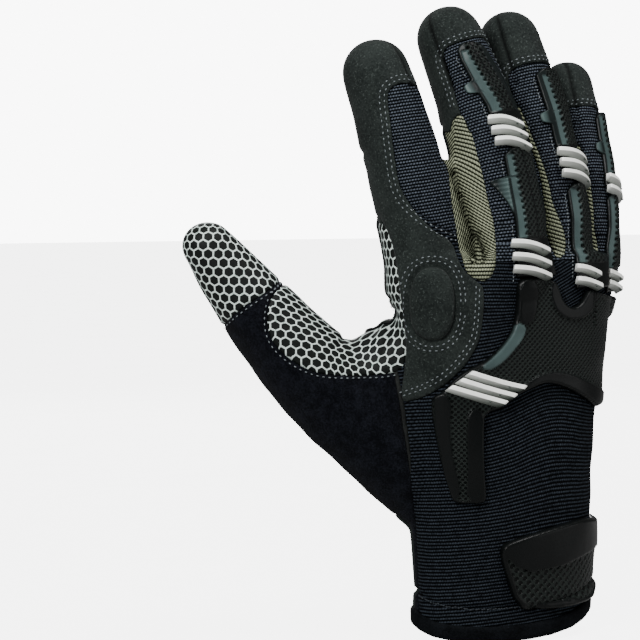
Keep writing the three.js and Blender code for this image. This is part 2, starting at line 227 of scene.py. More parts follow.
@dataclass(frozen=True)
class RibKnit:
    """Knitted fabric with raised courses: rows of small loops with dark gaps between them."""

    name: str
    ridge: str
    valley: str
    rib_mm: float = 1.3
    loop_mm: float = 1.15
    depth_mm: float = 0.5
    bead: float = 0.45
    wobble_mm: float = 0.5
    even: float = 0.2
    gap: float = 0.45

    def material(self) -> bpy.types.Material:
        """Build the finish.

        Returns:
            The material.
        """
        s = Shader(self.name)
        over = s.add("SeparateXYZ", s.add("UVMap", uv_map="Pattern"))
        up = over.node.outputs["Y"]
        drift = s.add("TexNoise", s.place, Scale=per_metre(5.0), Detail=2.0)
        drift = s.add("Math", drift, 0.5, operation="SUBTRACT")
        along = s.add("Math", drift, self.wobble_mm, up, operation="MULTIPLY_ADD")
        course = s.add("Math", along, self.rib_mm, operation="DIVIDE")
        # Every second course is moved by half a loop, as in a real knit.
        odd = s.add("Math", s.add("Math", course, operation="FLOOR"), 0.5, operation="MULTIPLY")
        loop = s.add("Math", s.add("Math", over, self.loop_mm, operation="DIVIDE"), odd, operation="ADD")
        waves = []
        for count in (course, loop):
            swing = s.add("Math", s.add("Math", count, math.pi, operation="MULTIPLY"), operation="SINE")
            waves.append(s.add("Math", swing, operation="ABSOLUTE"))
        beads = s.add("Math", waves[1], self.bead, 1.0 - self.bead, operation="MULTIPLY_ADD")
        height = s.add("Math", waves[0], beads, operation="MULTIPLY")
        # The colour follows the courses' height, partly the yarn's own tones and partly painted light: the
        # ridge colour paints the lit tops of the loops, the valley colour the shade in the gaps.
        shade = s.add("MapRange", height, self.gap, 0.92, interpolation_type="SMOOTHSTEP")
        yarn = s.add("TexNoise", s.place, Scale=per_metre(1.6), Detail=3.0)
        yarn = s.add("MapRange", yarn, self.even - 0.3, self.even + 0.3, interpolation_type="SMOOTHSTEP")
        shade = s.add("Math", shade, yarn, operation="MULTIPLY")
        # The fold mark darkens the knit to its valley colour: painted shade in the first side strip's fold.
        flat = s.add("Math", 1.0, s.add("Attribute", attribute_name="Fold", out="Fac"), operation="SUBTRACT")
        shade = s.add("Math", shade, flat, operation="MULTIPLY")
        colour = s.add("Mix", shade, i6=linear(self.valley), i7=linear(self.ridge), data_type="RGBA", out=2)
        bump = s.add("Bump", Strength=1.0, Distance=self.depth_mm * MM, Height=height)
        return s.finish(Base_Color=colour, Roughness=0.85, Normal=bump, Specular_IOR_Level=0.04)


@dataclass(frozen=True)
class Terry:
    """Brushed terry: short looped pile that swallows light and shows soft mottling."""

    name: str = "terry_brushed_pile"
    colour: str = "#050609"
    tips: str = "#14161c"
    pile_mm: float = 0.8
    clump_mm: float = 4.0

    def material(self) -> bpy.types.Material:
        """Build the finish.

        Returns:
            The material.
        """
        s = Shader(self.name)
        pile = s.add("TexNoise", s.place, Scale=per_metre(self.pile_mm), Detail=5.0)
        clumps = s.add("TexNoise", s.place, Scale=per_metre(self.clump_mm), Detail=3.0)
        clumps = s.add("Math", clumps, 0.5, operation="MULTIPLY")
        height = s.add("Math", pile, 0.7, clumps, operation="MULTIPLY_ADD")
        share = s.add("MapRange", height, 0.45, 0.85, interpolation_type="SMOOTHSTEP")
        colour = s.add("Mix", share, i6=linear(self.colour), i7=linear(self.tips), data_type="RGBA", out=2)
        bump = s.add("Bump", Strength=1.0, Distance=0.6 * MM, Height=height)
        return s.finish(
            Base_Color=colour, Roughness=0.95, Normal=bump,
            Specular_IOR_Level=0.02, Sheen_Weight=0.02, Sheen_Roughness=0.6,
        )


@dataclass(frozen=True)
class GripPrint:
    """Leather with a raised mesh of pale silicone printed on it in six-sided cells."""

    name: str = "leather_silicone_grip_print"
    ground: str = "#050706"
    nap: str = "#121614"
    silicone: str = "#cfdcd6"
    worn: str = "#98aaa3"
    cell_mm: float = 4.0
    line_mm: float = 0.66

    def material(self) -> bpy.types.Material:
        """Build the finish: the line is drawn where a point is far from the nearest cell's middle.

        Returns:
            The material.
        """
        s = Shader(self.name)
        source = s.add("UVMap", uv_map="Pattern")
        lean = (0.5, math.sqrt(3.0) / 2, 0.0)
        high, low = (lean[0], lean[1], 1.0), (-lean[0], -lean[1], -1.0)
        scaled = s.add("VectorMath", source, Scale=1.0 / self.cell_mm, operation="SCALE")
        nearest = []
        for shift in ((0.0, 0.0, 0.0), lean):
            moved = s.add("VectorMath", scaled, shift, operation="ADD")
            wrapped = s.add("VectorMath", moved, high, low, operation="WRAP")
            apart = s.add("VectorMath", wrapped, operation="ABSOLUTE")
            slope = s.add("VectorMath", apart, lean, operation="DOT_PRODUCT", out="Value")
            nearest.append(s.add("Math", slope, s.add("SeparateXYZ", apart), operation="MAXIMUM"))
        inside = s.add("Math", nearest[0], nearest[1], operation="MINIMUM")
        half = self.line_mm / self.cell_mm / 2
        low, high = 0.5 - half * 1.35, 0.5 - half * 0.65
        line = s.add("MapRange", inside, low, high, interpolation_type="SMOOTHSTEP")
        shown = s.add("Math", 1.0, s.add("Attribute", attribute_name="Bare", out="Fac"), operation="SUBTRACT")
        line = s.add("Math", line, shown, operation="MULTIPLY")
        wear_and_sheen = s.add("TexNoise", s.place, Scale=per_metre(2.2), Detail=4.0)
        wear_and_sheen = s.add("MapRange", wear_and_sheen, 0.25, 0.5, interpolation_type="SMOOTHSTEP")
        tone = s.add("Mix", wear_and_sheen, i6=linear(self.worn), i7=linear(self.silicone), data_type="RGBA", out=2)
        nap = s.add("TexNoise", s.place, Scale=per_metre(1.2), Detail=3.0)
        nap = s.add("Mix", nap, i6=linear(self.ground), i7=linear(self.nap), data_type="RGBA", out=2)
        colour = s.add("Mix", line, i6=nap, i7=tone, data_type="RGBA", out=2)
        grain = s.add("TexNoise", s.place, Scale=per_metre(0.8), Detail=3.0)
        height = s.add("Math", grain, 0.12, line, operation="MULTIPLY_ADD")
        bump = s.add("Bump", Strength=1.0, Distance=0.3 * MM, Height=height)
        return s.finish(Base_Color=colour, Roughness=0.6, Normal=bump, Specular_IOR_Level=0.12)


@dataclass(frozen=True)
class MouldedRubber:
    """Injection-moulded soft rubber: satin, with rows of small dimples where it is marked."""

    name: str = "soft_rubber_injection_moulded"
    colour: str = "#080a0a"
    raised: str = "#181d1b"
    pit: str = "#010202"
    # The three facet colours paint the reflection of the soft lights on the smooth facets, and a painted
    # highlight along their edge.
    facet: str = "#293434"
    facet_sheen: str = "#465554"
    facet_edge_highlight: str = "#7f918d"
    dimple_mm: float = 1.5

    def material(self) -> bpy.types.Material:
        """Build the finish.

        Returns:
            The material.
        """
        s = Shader(self.name)
        source = s.add("UVMap", uv_map="Pattern")
        scaled = s.add("VectorMath", source, Scale=1.0 / self.dimple_mm, operation="SCALE")
        turned = s.add("VectorRotate", scaled, Angle=math.radians(45.0), rotation_type="Z_AXIS")
        cells = s.add(
            "TexVoronoi", turned, Scale=1.0, Randomness=0.0, voronoi_dimensions="2D", out="Distance"
        )
        land = s.add("MapRange", cells, 0.2, 0.44, interpolation_type="SMOOTHSTEP")
        marked = s.add("Attribute", attribute_name="Dimples", out="Fac")
        hollow = s.add("Math", s.add("Math", 1.0, land, operation="SUBTRACT"), marked, operation="MULTIPLY")
        # The facet mark paints that reflection, made uneven by noise; where the mark passes 1 it turns to the
        # painted edge highlight.
        facet = s.add("Attribute", attribute_name="Facet", out="Fac")
        wear_and_sheen = s.add("TexNoise", s.place, Scale=per_metre(9.0), Detail=3.0)
        light = s.add("Mix", wear_and_sheen, i6=linear(self.facet), i7=linear(self.facet_sheen), data_type="RGBA", out=2)
        edge = s.add("MapRange", facet, 1.0, 2.0, interpolation_type="SMOOTHSTEP")
        light = s.add("Mix", edge, i6=light, i7=linear(self.facet_edge_highlight), data_type="RGBA", out=2)
        plain = s.add("Mix", marked, i6=linear(self.colour), i7=linear(self.raised), data_type="RGBA", out=2)
        # The dimples' hollows take the pit colour: painted shade.
        plain = s.add("Mix", hollow, i6=plain, i7=linear(self.pit), data_type="RGBA", out=2)
        colour = s.add("Mix", facet, i6=plain, i7=light, data_type="RGBA", out=2)
        grain = s.add("TexNoise", s.place, Scale=per_metre(0.7), Detail=3.0)
        height = s.add("Math", 1.0, hollow, operation="SUBTRACT")
        height = s.add("Math", grain, 0.05, height, operation="MULTIPLY_ADD")
        bump = s.add("Bump", Strength=1.0, Distance=0.7 * MM, Height=height)
        rough = s.add("Math", marked, 0.12, 0.34, operation="MULTIPLY_ADD")
        return s.finish(Base_Color=colour, Roughness=rough, Normal=bump, Specular_IOR_Level=0.11)


@dataclass(frozen=True)
class PlainFinish:
    """A moulded, woven or spun finish with a fine even grain."""

    name: str
    colour: str
    second: str
    grain_mm: float = 0.6
    depth_mm: float = 0.1
    roughness: float = 0.5
    gloss: float = 0.3
    # The under colour is painted shade, for faces marked as undersides.
    under: str = "#000000"

    def material(self) -> bpy.types.Material:
        """Build the finish.

        Returns:
            The material.
        """
        s = Shader(self.name)
        grain = s.add("TexNoise", s.place, Scale=per_metre(self.grain_mm), Detail=3.0)
        broad = s.add("TexNoise", s.place, Scale=per_metre(6.0), Detail=2.0)
        broad = s.add("Math", broad, 0.5, operation="MULTIPLY")
        share = s.add("Math", grain, 0.5, broad, operation="MULTIPLY_ADD")
        share = s.add("MapRange", share, 0.3, 0.7, interpolation_type="SMOOTHSTEP")
        colour = s.add("Mix", share, i6=linear(self.colour), i7=linear(self.second), data_type="RGBA", out=2)
        # Faces marked as undersides turn towards the under colour: painted shade.
        below = s.add("Attribute", attribute_name="Under", out="Fac")
        colour = s.add("Mix", below, i6=colour, i7=linear(self.under), data_type="RGBA", out=2)
        bump = s.add("Bump", Strength=1.0, Distance=self.depth_mm * MM, Height=grain)
        return s.finish(
            Base_Color=colour, Roughness=self.roughness, Normal=bump, Specular_IOR_Level=self.gloss
        )


class Finish(Enum):
    """The finishes that the pieces take."""

    SUEDE = Suede()
    LEATHER = GrainLeather()
    BACK_KNIT = RibKnit("rib_knit_fine_black", "#2c3239", "#010102", 1.35, 1.15, 0.5, 0.35, 0.5, 0.36)
    FINGER_KNIT = RibKnit("rib_knit_finger_black", "#4e555e", "#020305", 1.25, 1.15, 0.55, 0.5, 0.4, 0.34)
    KHAKI_KNIT = RibKnit("rib_knit_khaki", "#92977f", "#0c0f07", 1.5, 1.1, 0.6, 0.42, 0.15, 0.1, 0.25)
    TERRY = Terry()
    PRINT = GripPrint()
    PALM_PRINT = GripPrint("leather_silicone_grip_print_heavy", line_mm=1.25, cell_mm=4.4)
    RUBBER = MouldedRubber()
    # The white rubber's last colour paints shade on the bars' undersides.
    WHITE_RUBBER = PlainFinish("white_rubber_moulded", "#f2f5ee", "#fafbf7", 0.8, 0.03, 0.35, 0.45, "#2a332c")
    WEBBING = PlainFinish("woven_binding_black", "#040506", "#0f1114", 0.9, 0.3, 0.85, 0.04)
    INSET = PlainFinish("pale_film_inset", "#a9b3ae", "#b9c2bd", 1.0, 0.05, 0.35)
    THREAD = PlainFinish("polyester_thread_grey", "#575d60", "#73797c", 0.3, 0.05, 0.7)
    DARK_THREAD = PlainFinish("polyester_thread_dark", "#1e2226", "#2c3136", 0.3, 0.05, 0.7)
    PALE_THREAD = PlainFinish("polyester_thread_pale", "#b9c4bf", "#d3dcd8", 0.3, 0.05, 0.7)

    def material(self) -> bpy.types.Material:
        """Give the finish's one material, built on its first use."""
        found = bpy.data.materials.get(self.value.name)
        return found or self.value.material()


# Curves, frames and outlines


def smooth_line(points: Sequence[Sequence[float]], rounds: int = 2, closed: bool = True) -> Array:
    """Round an outline's corners by cutting each one off at a quarter of its sides.

    Args:
        points: The corners, two or three values each.
        rounds: How often the corners are cut.
        closed: Whether the last point joins the first.

    Returns:
        The rounded points.
    """
    line = np.array(points, dtype=float)
    for _ in range(rounds):
        after = np.roll(line, -1, axis=0) if closed else line[1:]
        before = line if closed else line[:-1]
        pairs = np.stack([before * 0.75 + after * 0.25, before * 0.25 + after * 0.75], axis=1)
        cut = pairs.reshape(-1, line.shape[1])
        line = cut if closed else np.vstack([line[:1], cut, line[-1:]])
    return line


def inside_distance(outline: Array, flat: Array) -> Array:
    """Measure how far points lie inside an outline.

    Args:
        outline: The closed outline's points.
        flat: The points, two values each.

    Returns:
        The distance to the outline, positive inside and negative outside.
    """
    best = np.full(len(flat), 1e9)
    inside = np.zeros(len(flat), dtype=bool)
    for a, b in zip(outline, np.roll(outline, -1, axis=0)):
        side = b - a
        share = np.clip(((flat - a) @ side) / max(side @ side, 1e-9), 0, 1)
        best = np.minimum(best, np.linalg.norm(flat - a - share[:, None] * side, axis=1))
        crosses = (a[1] > flat[:, 1]) != (b[1] > flat[:, 1])
        rise = side[1] if abs(side[1]) > 1e-9 else 1e-9
        inside ^= crosses & (flat[:, 0] < a[0] + (flat[:, 1] - a[1]) * side[0] / rise)
    return np.where(inside, best, -best)


def resample(line: Array, pitch: float, closed: bool) -> Array:
    """Place points at an even pitch along a line.

    Args:
        line: The points of the line, in order.
        pitch: The step between the new points, in millimetres.
        closed: Whether the last point joins the first.

    Returns:
        The new points.
    """
    points = np.vstack([line, line[:1]]) if closed else line
    steps = np.linalg.norm(np.diff(points, axis=0), axis=1)
    length = np.concatenate([[0], np.cumsum(steps)])
    count = max(int(length[-1] / pitch), 2)
    places = np.linspace(0, length[-1], count, endpoint=not closed)
    return np.stack([np.interp(places, length, points[:, k]) for k in range(points.shape[1])], axis=1)


def step(value: Array, low: float, high: float) -> Array:
    """Give a smooth step from 0 at low to 1 at high."""
    share = np.clip((value - low) / (high - low), 0, 1)
    return share * share * (3 - 2 * share)


def bell(distance: Array, wide: float) -> Array:
    """Give a bell-shaped share: 1 on a line and less with the distance from it."""
    return np.exp(-((distance / wide) ** 2))


def across(points: Array) -> Array:
    """Give the distance across the plane of the back's outlines."""
    return points @ ACROSS


def away(points: Array) -> Array:
    """Give the depth behind the plane of the back's outlines."""
    return points @ AWAY


def seen(points: Array) -> Array:
    """Give points in the plane of the back's outlines: across and up."""
    return np.stack([points @ ACROSS, points[:, 2]], axis=1)


def palm_seen(points: Array) -> Array:
    """Give points as seen from the palm: across towards the thumb, and up."""
    return np.stack([-points[:, 0], points[:, 2]], axis=1)


class Centreline:
    """The curve through a finger or the thumb, with the directions round it."""

    def __init__(self, points: Array, back: Array) -> None:
        """Lay the curve out.

        Args:
            points: Points along it, in order.
            back: The way that the back of the finger faces.
        """
        self.points = points
        sides = np.diff(points, axis=0)
        self.steps = np.linalg.norm(sides, axis=1)
        self.length = np.concatenate([[0], np.cumsum(self.steps)])
        tangents = np.gradient(points, self.length, axis=0)
        self.along = tangents / np.linalg.norm(tangents, axis=1)[:, None]
        lean = back[None, :] - (self.along @ back)[:, None] * self.along
        self.back = lean / np.linalg.norm(lean, axis=1)[:, None]
        self.side = np.cross(self.along, self.back)

    def frame(self, s: Array) -> tuple[Array, Array, Array, Array]:
        """Give the centre and the side, back and along directions at lengths along the curve.

        Args:
            s: Lengths along the curve.

        Returns:
            Four arrays of three values each: centre, side, back and along.
        """
        values = []
        for table in (self.points, self.side, self.back, self.along):
            values.append(np.stack([np.interp(s, self.length, table[:, k]) for k in range(3)], axis=1))
        return values[0], values[1], values[2], values[3]

    def locate(self, points: Array) -> tuple[Array, Array, Array]:
        """Find points' places round the curve.

        Args:
            points: The points, three values each.

        Returns:
            The length along the curve, the angle from its back towards the little finger, and
            the distance from it.
        """
        best = np.full(len(points), 1e9)
        where = np.zeros(len(points))
        last = len(self.steps) - 1
        for k, size in enumerate(self.steps):
            side = self.points[k + 1] - self.points[k]
            share = ((points - self.points[k]) @ side) / (size * size)
            low = -9.0 if k == 0 else 0.0
            high = 9.0 if k == last else 1.0
            share = np.clip(share, low, high)
            gap = np.linalg.norm(points - self.points[k] - share[:, None] * side, axis=1)
            nearer = gap < best
            best = np.where(nearer, gap, best)
            where = np.where(nearer, self.length[k] + share * size, where)
        centre, side, back, _ = self.frame(where)
        beyond = np.where(where < 0, where, np.maximum(where - self.length[-1], 0))
        end = np.where((where < 0)[:, None], self.along[0][None, :], self.along[-1][None, :])
        arm = points - centre - beyond[:, None] * end
        turn = np.arctan2(np.sum(arm * side, axis=1), np.sum(arm * back, axis=1))
        return where, turn, best

    def outward(self, s: Array, turn: Array) -> tuple[Array, Array]:
        """Give the centre at lengths along the curve, and the way out at angles round it."""
        centre, side, back, _ = self.frame(s)
        return centre, side * np.sin(turn)[:, None] + back * np.cos(turn)[:, None]

    def spot(self, s: Array, turn: Array, reach: Array) -> Array:
        """Give the points at lengths along, angles round and distances from the curve."""
        centre, out = self.outward(s, turn)
        return centre + out * reach[:, None]


# The form of the glove


@dataclass(frozen=True)
class Section:
    """One oval cut through the hand, a finger or the thumb."""

    x: float
    y: float
    z: float
    wide: float
    deep: float


@dataclass(frozen=True)
class FingerSize:
    """A finger's centre line from the knuckle to the middle of its tip, and its radii."""

    name: str
    x: float
    y: float
    tip_x: float
    tip_y: float
    tip_z: float
    radii: tuple[float, ...]
    splay: float

    def centre(self, z: Array) -> Array:
        """Give the centre at heights: the splay and the curl grow towards the tip.

        Args:
            z: Heights above the hem.

        Returns:
            The centres, three values each.
        """
        share = np.maximum((z - KNUCKLE) / (self.tip_z - KNUCKLE), 0)
        x = self.x + (self.tip_x - self.x) * share**self.splay
        y = self.y + (self.tip_y - self.y) * share**1.5
        return np.stack([x, y, z], axis=1)


KNUCKLE = 150.0
ROOT = 126.0
CROTCH = 155.0

HAND = (
    Section(-1.0, 0.0, -8.0, 38.6, 20.0),
    Section(-1.0, 0.0, 0.0, 38.6, 20.0),
    Section(-1.0, 0.0, 18.0, 38.2, 21.0),
    Section(-1.5, 0.0, 40.0, 39.0, 23.0),
    Section(-2.0, 0.0, 75.0, 40.6, 24.0),
    Section(-2.0, 0.0, 105.0, 44.0, 22.6),
    Section(-2.0, -2.0, 135.0, 47.6, 19.5),
    Section(-1.5, -2.0, 152.0, 48.0, 16.5),
)

FINGERS = (
    FingerSize("index", -36, 2, -49.5, 17, 223, (15.6, 15.6, 15.3, 14.2, 13.0), 1.1),
    FingerSize("middle", -4.5, -7, -15, 17, 237, (16.3, 16.0, 15.5, 14.4, 13.2), 1.9),
    FingerSize("ring", 23.3, 0, 17.7, 23, 237, (14.2, 13.9, 13.4, 12.9, 12.4), 1.9),
    FingerSize("little", 44.5, 4, 47, 24, 219, (9.8, 10.8, 10.8, 10.7, 10.6), 1.1),
)

FINGER_NUMBERS = {size.name: i for i, size in enumerate(FINGERS)}

THUMB = (
    Section(-14.0, 2.0, 48.0, 20.0, 15.0),
    Section(-28.0, 6.0, 62.0, 22.0, 17.0),
    Section(-50.0, 16.0, 84.0, 21.0, 17.0),
    Section(-73.0, 26.0, 104.0, 18.2, 16.0),
    Section(-93.0, 36.0, 130.0, 14.8, 14.2),
    Section(-110.6, 43.0, 154.8, 10.0, 10.0),
)

WEBS = (
    (
        Section(-22.0, 2.0, 98.0, 36.0, 16.0),
        Section(-34.0, 7.0, 99.0, 34.0, 15.5),
        Section(-50.0, 14.0, 99.0, 25.0, 14.0),
        Section(-62.0, 20.0, 99.0, 17.0, 11.0),
    ),
    (
        Section(-8.0, 0.0, 158.0, 31.0, 9.0),
        Section(-22.0, 3.0, 158.0, 31.0, 9.0),
        Section(-38.0, 6.0, 158.0, 31.0, 9.0),
    ),
)


def bridge_rings(bm: bmesh.types.BMesh, rings: list[list[bmesh.types.BMVert]]) -> None:
    """Join rings of vertices into a closed body.

    Args:
        bm: The mesh.
        rings: The rings, in order from one end to the other.
    """
    for low, high in zip(rings, rings[1:]):
        edges = [e for v in low for e in v.link_edges if e.other_vert(v) in low]
        edges += [e for v in high for e in v.link_edges if e.other_vert(v) in high]
        bmesh.ops.bridge_loops(bm, edges=list(set(edges)))
    for ring in (rings[0], rings[-1]):
        bmesh.ops.contextual_create(bm, geom=list(ring))


@dataclass
class GloveForm:
    """The closed outer form of the whole glove, before it is cut into panels."""

    voxel: float = 1.1
    ring_points: int = 40
    hand_power: float = 2.3
    finger_rings: int = 10
    thumb_rings: int = 12
    root_share: float = 0.7
    tip_rises: tuple[float, ...] = (0.3, 0.55, 0.75, 0.9, 0.98)
    soften_rounds: int = 14

    def __post_init__(self) -> None:
        """Work out the centre lines and the form."""
        self.lines = [self._finger_line(size) for size in FINGERS]
        rows = np.array([[s.x, s.y, s.z] for s in THUMB])
        self.thumb = Centreline(smooth_line(rows, 2, closed=False), -AWAY)
        self.mesh = self._make()

    @staticmethod
    def _finger_line(size: FingerSize) -> Centreline:
        """Lay out a finger's centre line from inside the hand to the middle of its tip."""
        heights = np.linspace(ROOT, size.tip_z, 16)
        return Centreline(size.centre(heights), np.array([0.0, -1.0, 0.0]))

    def _loft(
        self, bm: bmesh.types.BMesh, rows: list[tuple[Array, Array, Array, float, float]], power: float = 2.0
    ) -> None:
        """Bridge oval rings into a closed body.

        Args:
            bm: The mesh that the body joins.
            rows: Each ring's centre, its two directions, half width and half depth.
            power: 2 for ellipses, more for squarer rings.
        """
        rings = []
        for centre, wide_way, deep_way, wide, deep in rows:
            made = bmesh.ops.create_circle(bm, segments=self.ring_points, radius=1.0)
            for vert in made["verts"]:
                c, s = vert.co.x, vert.co.y
                c = math.copysign(abs(c) ** (2 / power), c)
                s = math.copysign(abs(s) ** (2 / power), s)
                vert.co = Vector(centre + wide_way * (wide * c) + deep_way * (deep * s))
            rings.append(made["verts"])
        bridge_rings(bm, rings)

    def _tube_rows(self, line: Centreline, lengths: Array, wide: Array, deep: Array) -> list:
        """Give rings square to a centre line, closed by a round end.

        Args:
            line: The centre line.
            lengths: The lengths along it at which the rings stand.
            wide: The rings' half widths.
            deep: The rings' half depths.

        Returns:
            Each ring as its centre, side, back, half width and half depth.
        """
        centre, side, back, along = line.frame(lengths)
        rows = [(centre[i], side[i], back[i], wide[i], deep[i]) for i in range(len(lengths))]
        reach = (wide[-1] + deep[-1]) / 2
        for rise in self.tip_rises:
            shrink = math.sqrt(1 - rise * rise)
            place = centre[-1] + along[-1] * reach * rise
            rows.append((place, side[-1], back[-1], wide[-1] * shrink, deep[-1] * shrink))
        return rows

    def _fill(self, bm: bmesh.types.BMesh) -> None:
        """Loft the hand, the fingers, the thumb and the webs between them.

        Args:
            bm: The mesh that takes the bodies.
        """
        x_way = np.array([1.0, 0.0, 0.0])
        y_way = np.array([0.0, 1.0, 0.0])
        rows = [(np.array([s.x, s.y, s.z]), x_way, y_way, s.wide, s.deep) for s in HAND]
        self._loft(bm, rows, self.hand_power)
        for size, line in zip(FINGERS, self.lines):
            lengths = np.linspace(0, line.length[-1], self.finger_rings)
            places = np.linspace(-0.25, 1, self.finger_rings).clip(0, 1) * (len(size.radii) - 1)
            radii = np.interp(places, range(len(size.radii)), size.radii)
            radii[0] *= self.root_share
            self._loft(bm, self._tube_rows(line, lengths, radii, radii))
        lengths = np.linspace(0, self.thumb.length[-1], self.thumb_rings)
        places = np.linspace(0, len(THUMB) - 1, self.thumb_rings)
        wide = np.interp(places, range(len(THUMB)), [s.wide for s in THUMB])
        deep = np.interp(places, range(len(THUMB)), [s.deep for s in THUMB])
        self._loft(bm, self._tube_rows(self.thumb, lengths, wide, deep))
        for web in WEBS:
            line = Centreline(np.array([[s.x, s.y, s.z] for s in web]), np.array([0.0, -1.0, 0.0]))
            rows = [(line.points[i], line.side[i], line.back[i], s.wide, s.deep) for i, s in enumerate(web)]
            self._loft(bm, rows)

    def _make(self) -> bpy.types.Mesh:
        """Join the bodies into one skin of even faces and smooth it.

        Returns:
            The skin, a closed mesh in millimetres.
        """
        bm = bmesh.new()
        self._fill(bm)
        bmesh.ops.recalc_face_normals(bm, faces=bm.faces)
        mesh = bpy.data.meshes.new("form")
        bm.to_mesh(mesh)
        bm.free()
        holder = bpy.data.objects.new("form", mesh)
        bpy.context.scene.collection.objects.link(holder)
        remesh = holder.modifiers.new("even_faces", "REMESH")
        remesh.mode = "VOXEL"
        remesh.voxel_size = self.voxel
        remesh.use_smooth_shade = True
        smooth = holder.modifiers.new("soften", "SMOOTH")
        smooth.factor = 0.5
        smooth.iterations = self.soften_rounds
        depsgraph = bpy.context.evaluated_depsgraph_get()
        skin = bpy.data.meshes.new_from_object(holder.evaluated_get(depsgraph))
        bpy.data.objects.remove(holder)
        bpy.data.meshes.remove(mesh)
        return skin


# Cutting the form into panels


@dataclass
class Skin:
    """The glove's outer surface as a bmesh, in millimetres, with tools to cut and trace it.

    A depth comes before the half width in each pair of sizes.
    """

    form: GloveForm
    uneven: float = 0.35
    dart: tuple[float, float] = (1.4, 0.9)
    joint: tuple[float, float] = (0.9, 1.6)
    joint_swell: tuple[float, float] = (0.5, 6.0)
    hem_seam: tuple[float, float] = (1.5, 0.8)
    hem_rise: float = 13.2
    pad_edge: tuple[float, float] = (1.6, 0.9)
    pleat: tuple[float, float] = (0.9, 1.2)
    strip_fold: tuple[float, float] = (3.6, 1.3)
    strip_swell: tuple[float, float] = (0.8, 2.2)

    def __post_init__(self) -> None:
        """Take the form's surface, trim it at the hem and give it its creases."""
        self.bm = bmesh.new()
        self.bm.from_mesh(self.form.mesh)
        keep_inside(self.bm, above_hem(positions(self.bm)))
        self._crease()
        self.tree = BVHTree.FromBMesh(self.bm)

    def _crease(self) -> None:
        """Move the surface in and out a little: soft unevenness, joints and the web's pleats."""
        points = positions(self.bm)
        normals = np.array([v.normal for v in self.bm.verts])
        move = unevenness(points) * self.uneven
        for size, line, seam in zip(FINGERS, self.form.lines, TIP_SEAMS):
            s, turn, reach = line.locate(points)
            near = step(-np.abs(reach - size.radii[2]), -5, -2)
            tip = step(s, line.length[-1] - 24, line.length[-1] - 20) * near
            gap = (turn - math.radians(seam)) * reach
            move -= self.dart[0] * tip * bell(gap, self.dart[1])
            front = step(np.abs(turn), 1.2, 2.2) * near
            for place in JOINTS:
                fold = (s / line.length[-1] - place) * line.length[-1]
                move -= self.joint[0] * front * bell(fold, self.joint[1])
                move += self.joint_swell[0] * front * bell(fold, self.joint_swell[1])
        flat = seen(points)
        front = step(-away(points), 4, 10)
        move -= self.hem_seam[0] * bell(above_hem(points) - self.hem_rise, self.hem_seam[1])
        move += 0.4 * step(-above_hem(points), -12.5, -11)
        ring = inside_distance(KnucklePad.outline(0.9), flat)
        move -= self.pad_edge[0] * step(-away(points), 2, 4) * bell(ring, self.pad_edge[1])
        for pleat in PLEATS:
            gap = -inside_distance(smooth_line(pleat, 1, closed=False), flat)
            move -= self.pleat[0] * front * bell(np.abs(gap), self.pleat[1])
        fold = fold_distance(points)
        front = step(-away(points), -14, -6)
        move -= self.strip_fold[0] * front * bell(fold, self.strip_fold[1])
        move += self.strip_swell[0] * front * bell(fold - 4.0, self.strip_swell[1])
        for vert, shift in zip(self.bm.verts, move[:, None] * normals):
            vert.co += Vector(shift)
        self.bm.normal_update()

    def hit(self, outline: Iterable[Sequence[float]], way: Array = AWAY) -> tuple[Array, Array]:
        """Find where points of an outline fall on the surface.

        Args:
            outline: Points across and up, seen along the way.
            way: The level direction of sight.

        Returns:
            The points on the surface and its outward directions there; missed points are left out.
        """
        side = np.array([way[1], -way[0], 0.0])
        found, normals = [], []
        for u, z in outline:
            start = side * u + np.array([0, 0, z]) - way * 200
            place, normal, _, _ = self.tree.ray_cast(Vector(start), Vector(way))
            if place is not None:
                found.append(place)
                normals.append(normal)
        return np.array(found), np.array(normals)


def positions(bm: bmesh.types.BMesh) -> Array:
    """Give the places of all of a mesh's vertices."""
    return np.array([v.co[:] for v in bm.verts])


def above_hem(points: Array) -> Array:
    """Give the height above the hem, which curves up at both sides of the cuff."""
    rise = np.interp(across(points), HEM[0], HEM[1])
    return points[:, 2] - rise


def fold_distance(points: Array) -> Array:
    """Give the distance across the view to the folds in the strip beside the index finger.

    Args:
        points: The points, three values each.

    Returns:
        The distances to the nearest fold.
    """
    gaps = []
    for line in (STRIP_FOLD, TONGUE):
        there = np.array(line)
        gaps.append(np.abs(inside_distance(np.vstack([there, there[::-1] + 0.01]), seen(points))))
    return np.min(gaps, axis=0)


def unevenness(points: Array) -> Array:
    """Give a smooth, seeded unevenness between about -1 and 1 for cloth over a hand.

    Args:
        points: The points, three values each.

    Returns:
        A value for each point.
    """
    rng = np.random.default_rng(7)
    total = np.zeros(len(points))
    for wave in (34.0, 26.0, 19.0, 15.0):
        for _ in range(3):
            way = rng.normal(size=3)
            way /= np.linalg.norm(way)
            total += np.sin(points @ way * 2 * math.pi / wave + rng.uniform(0, 6.3))
    return total / 6


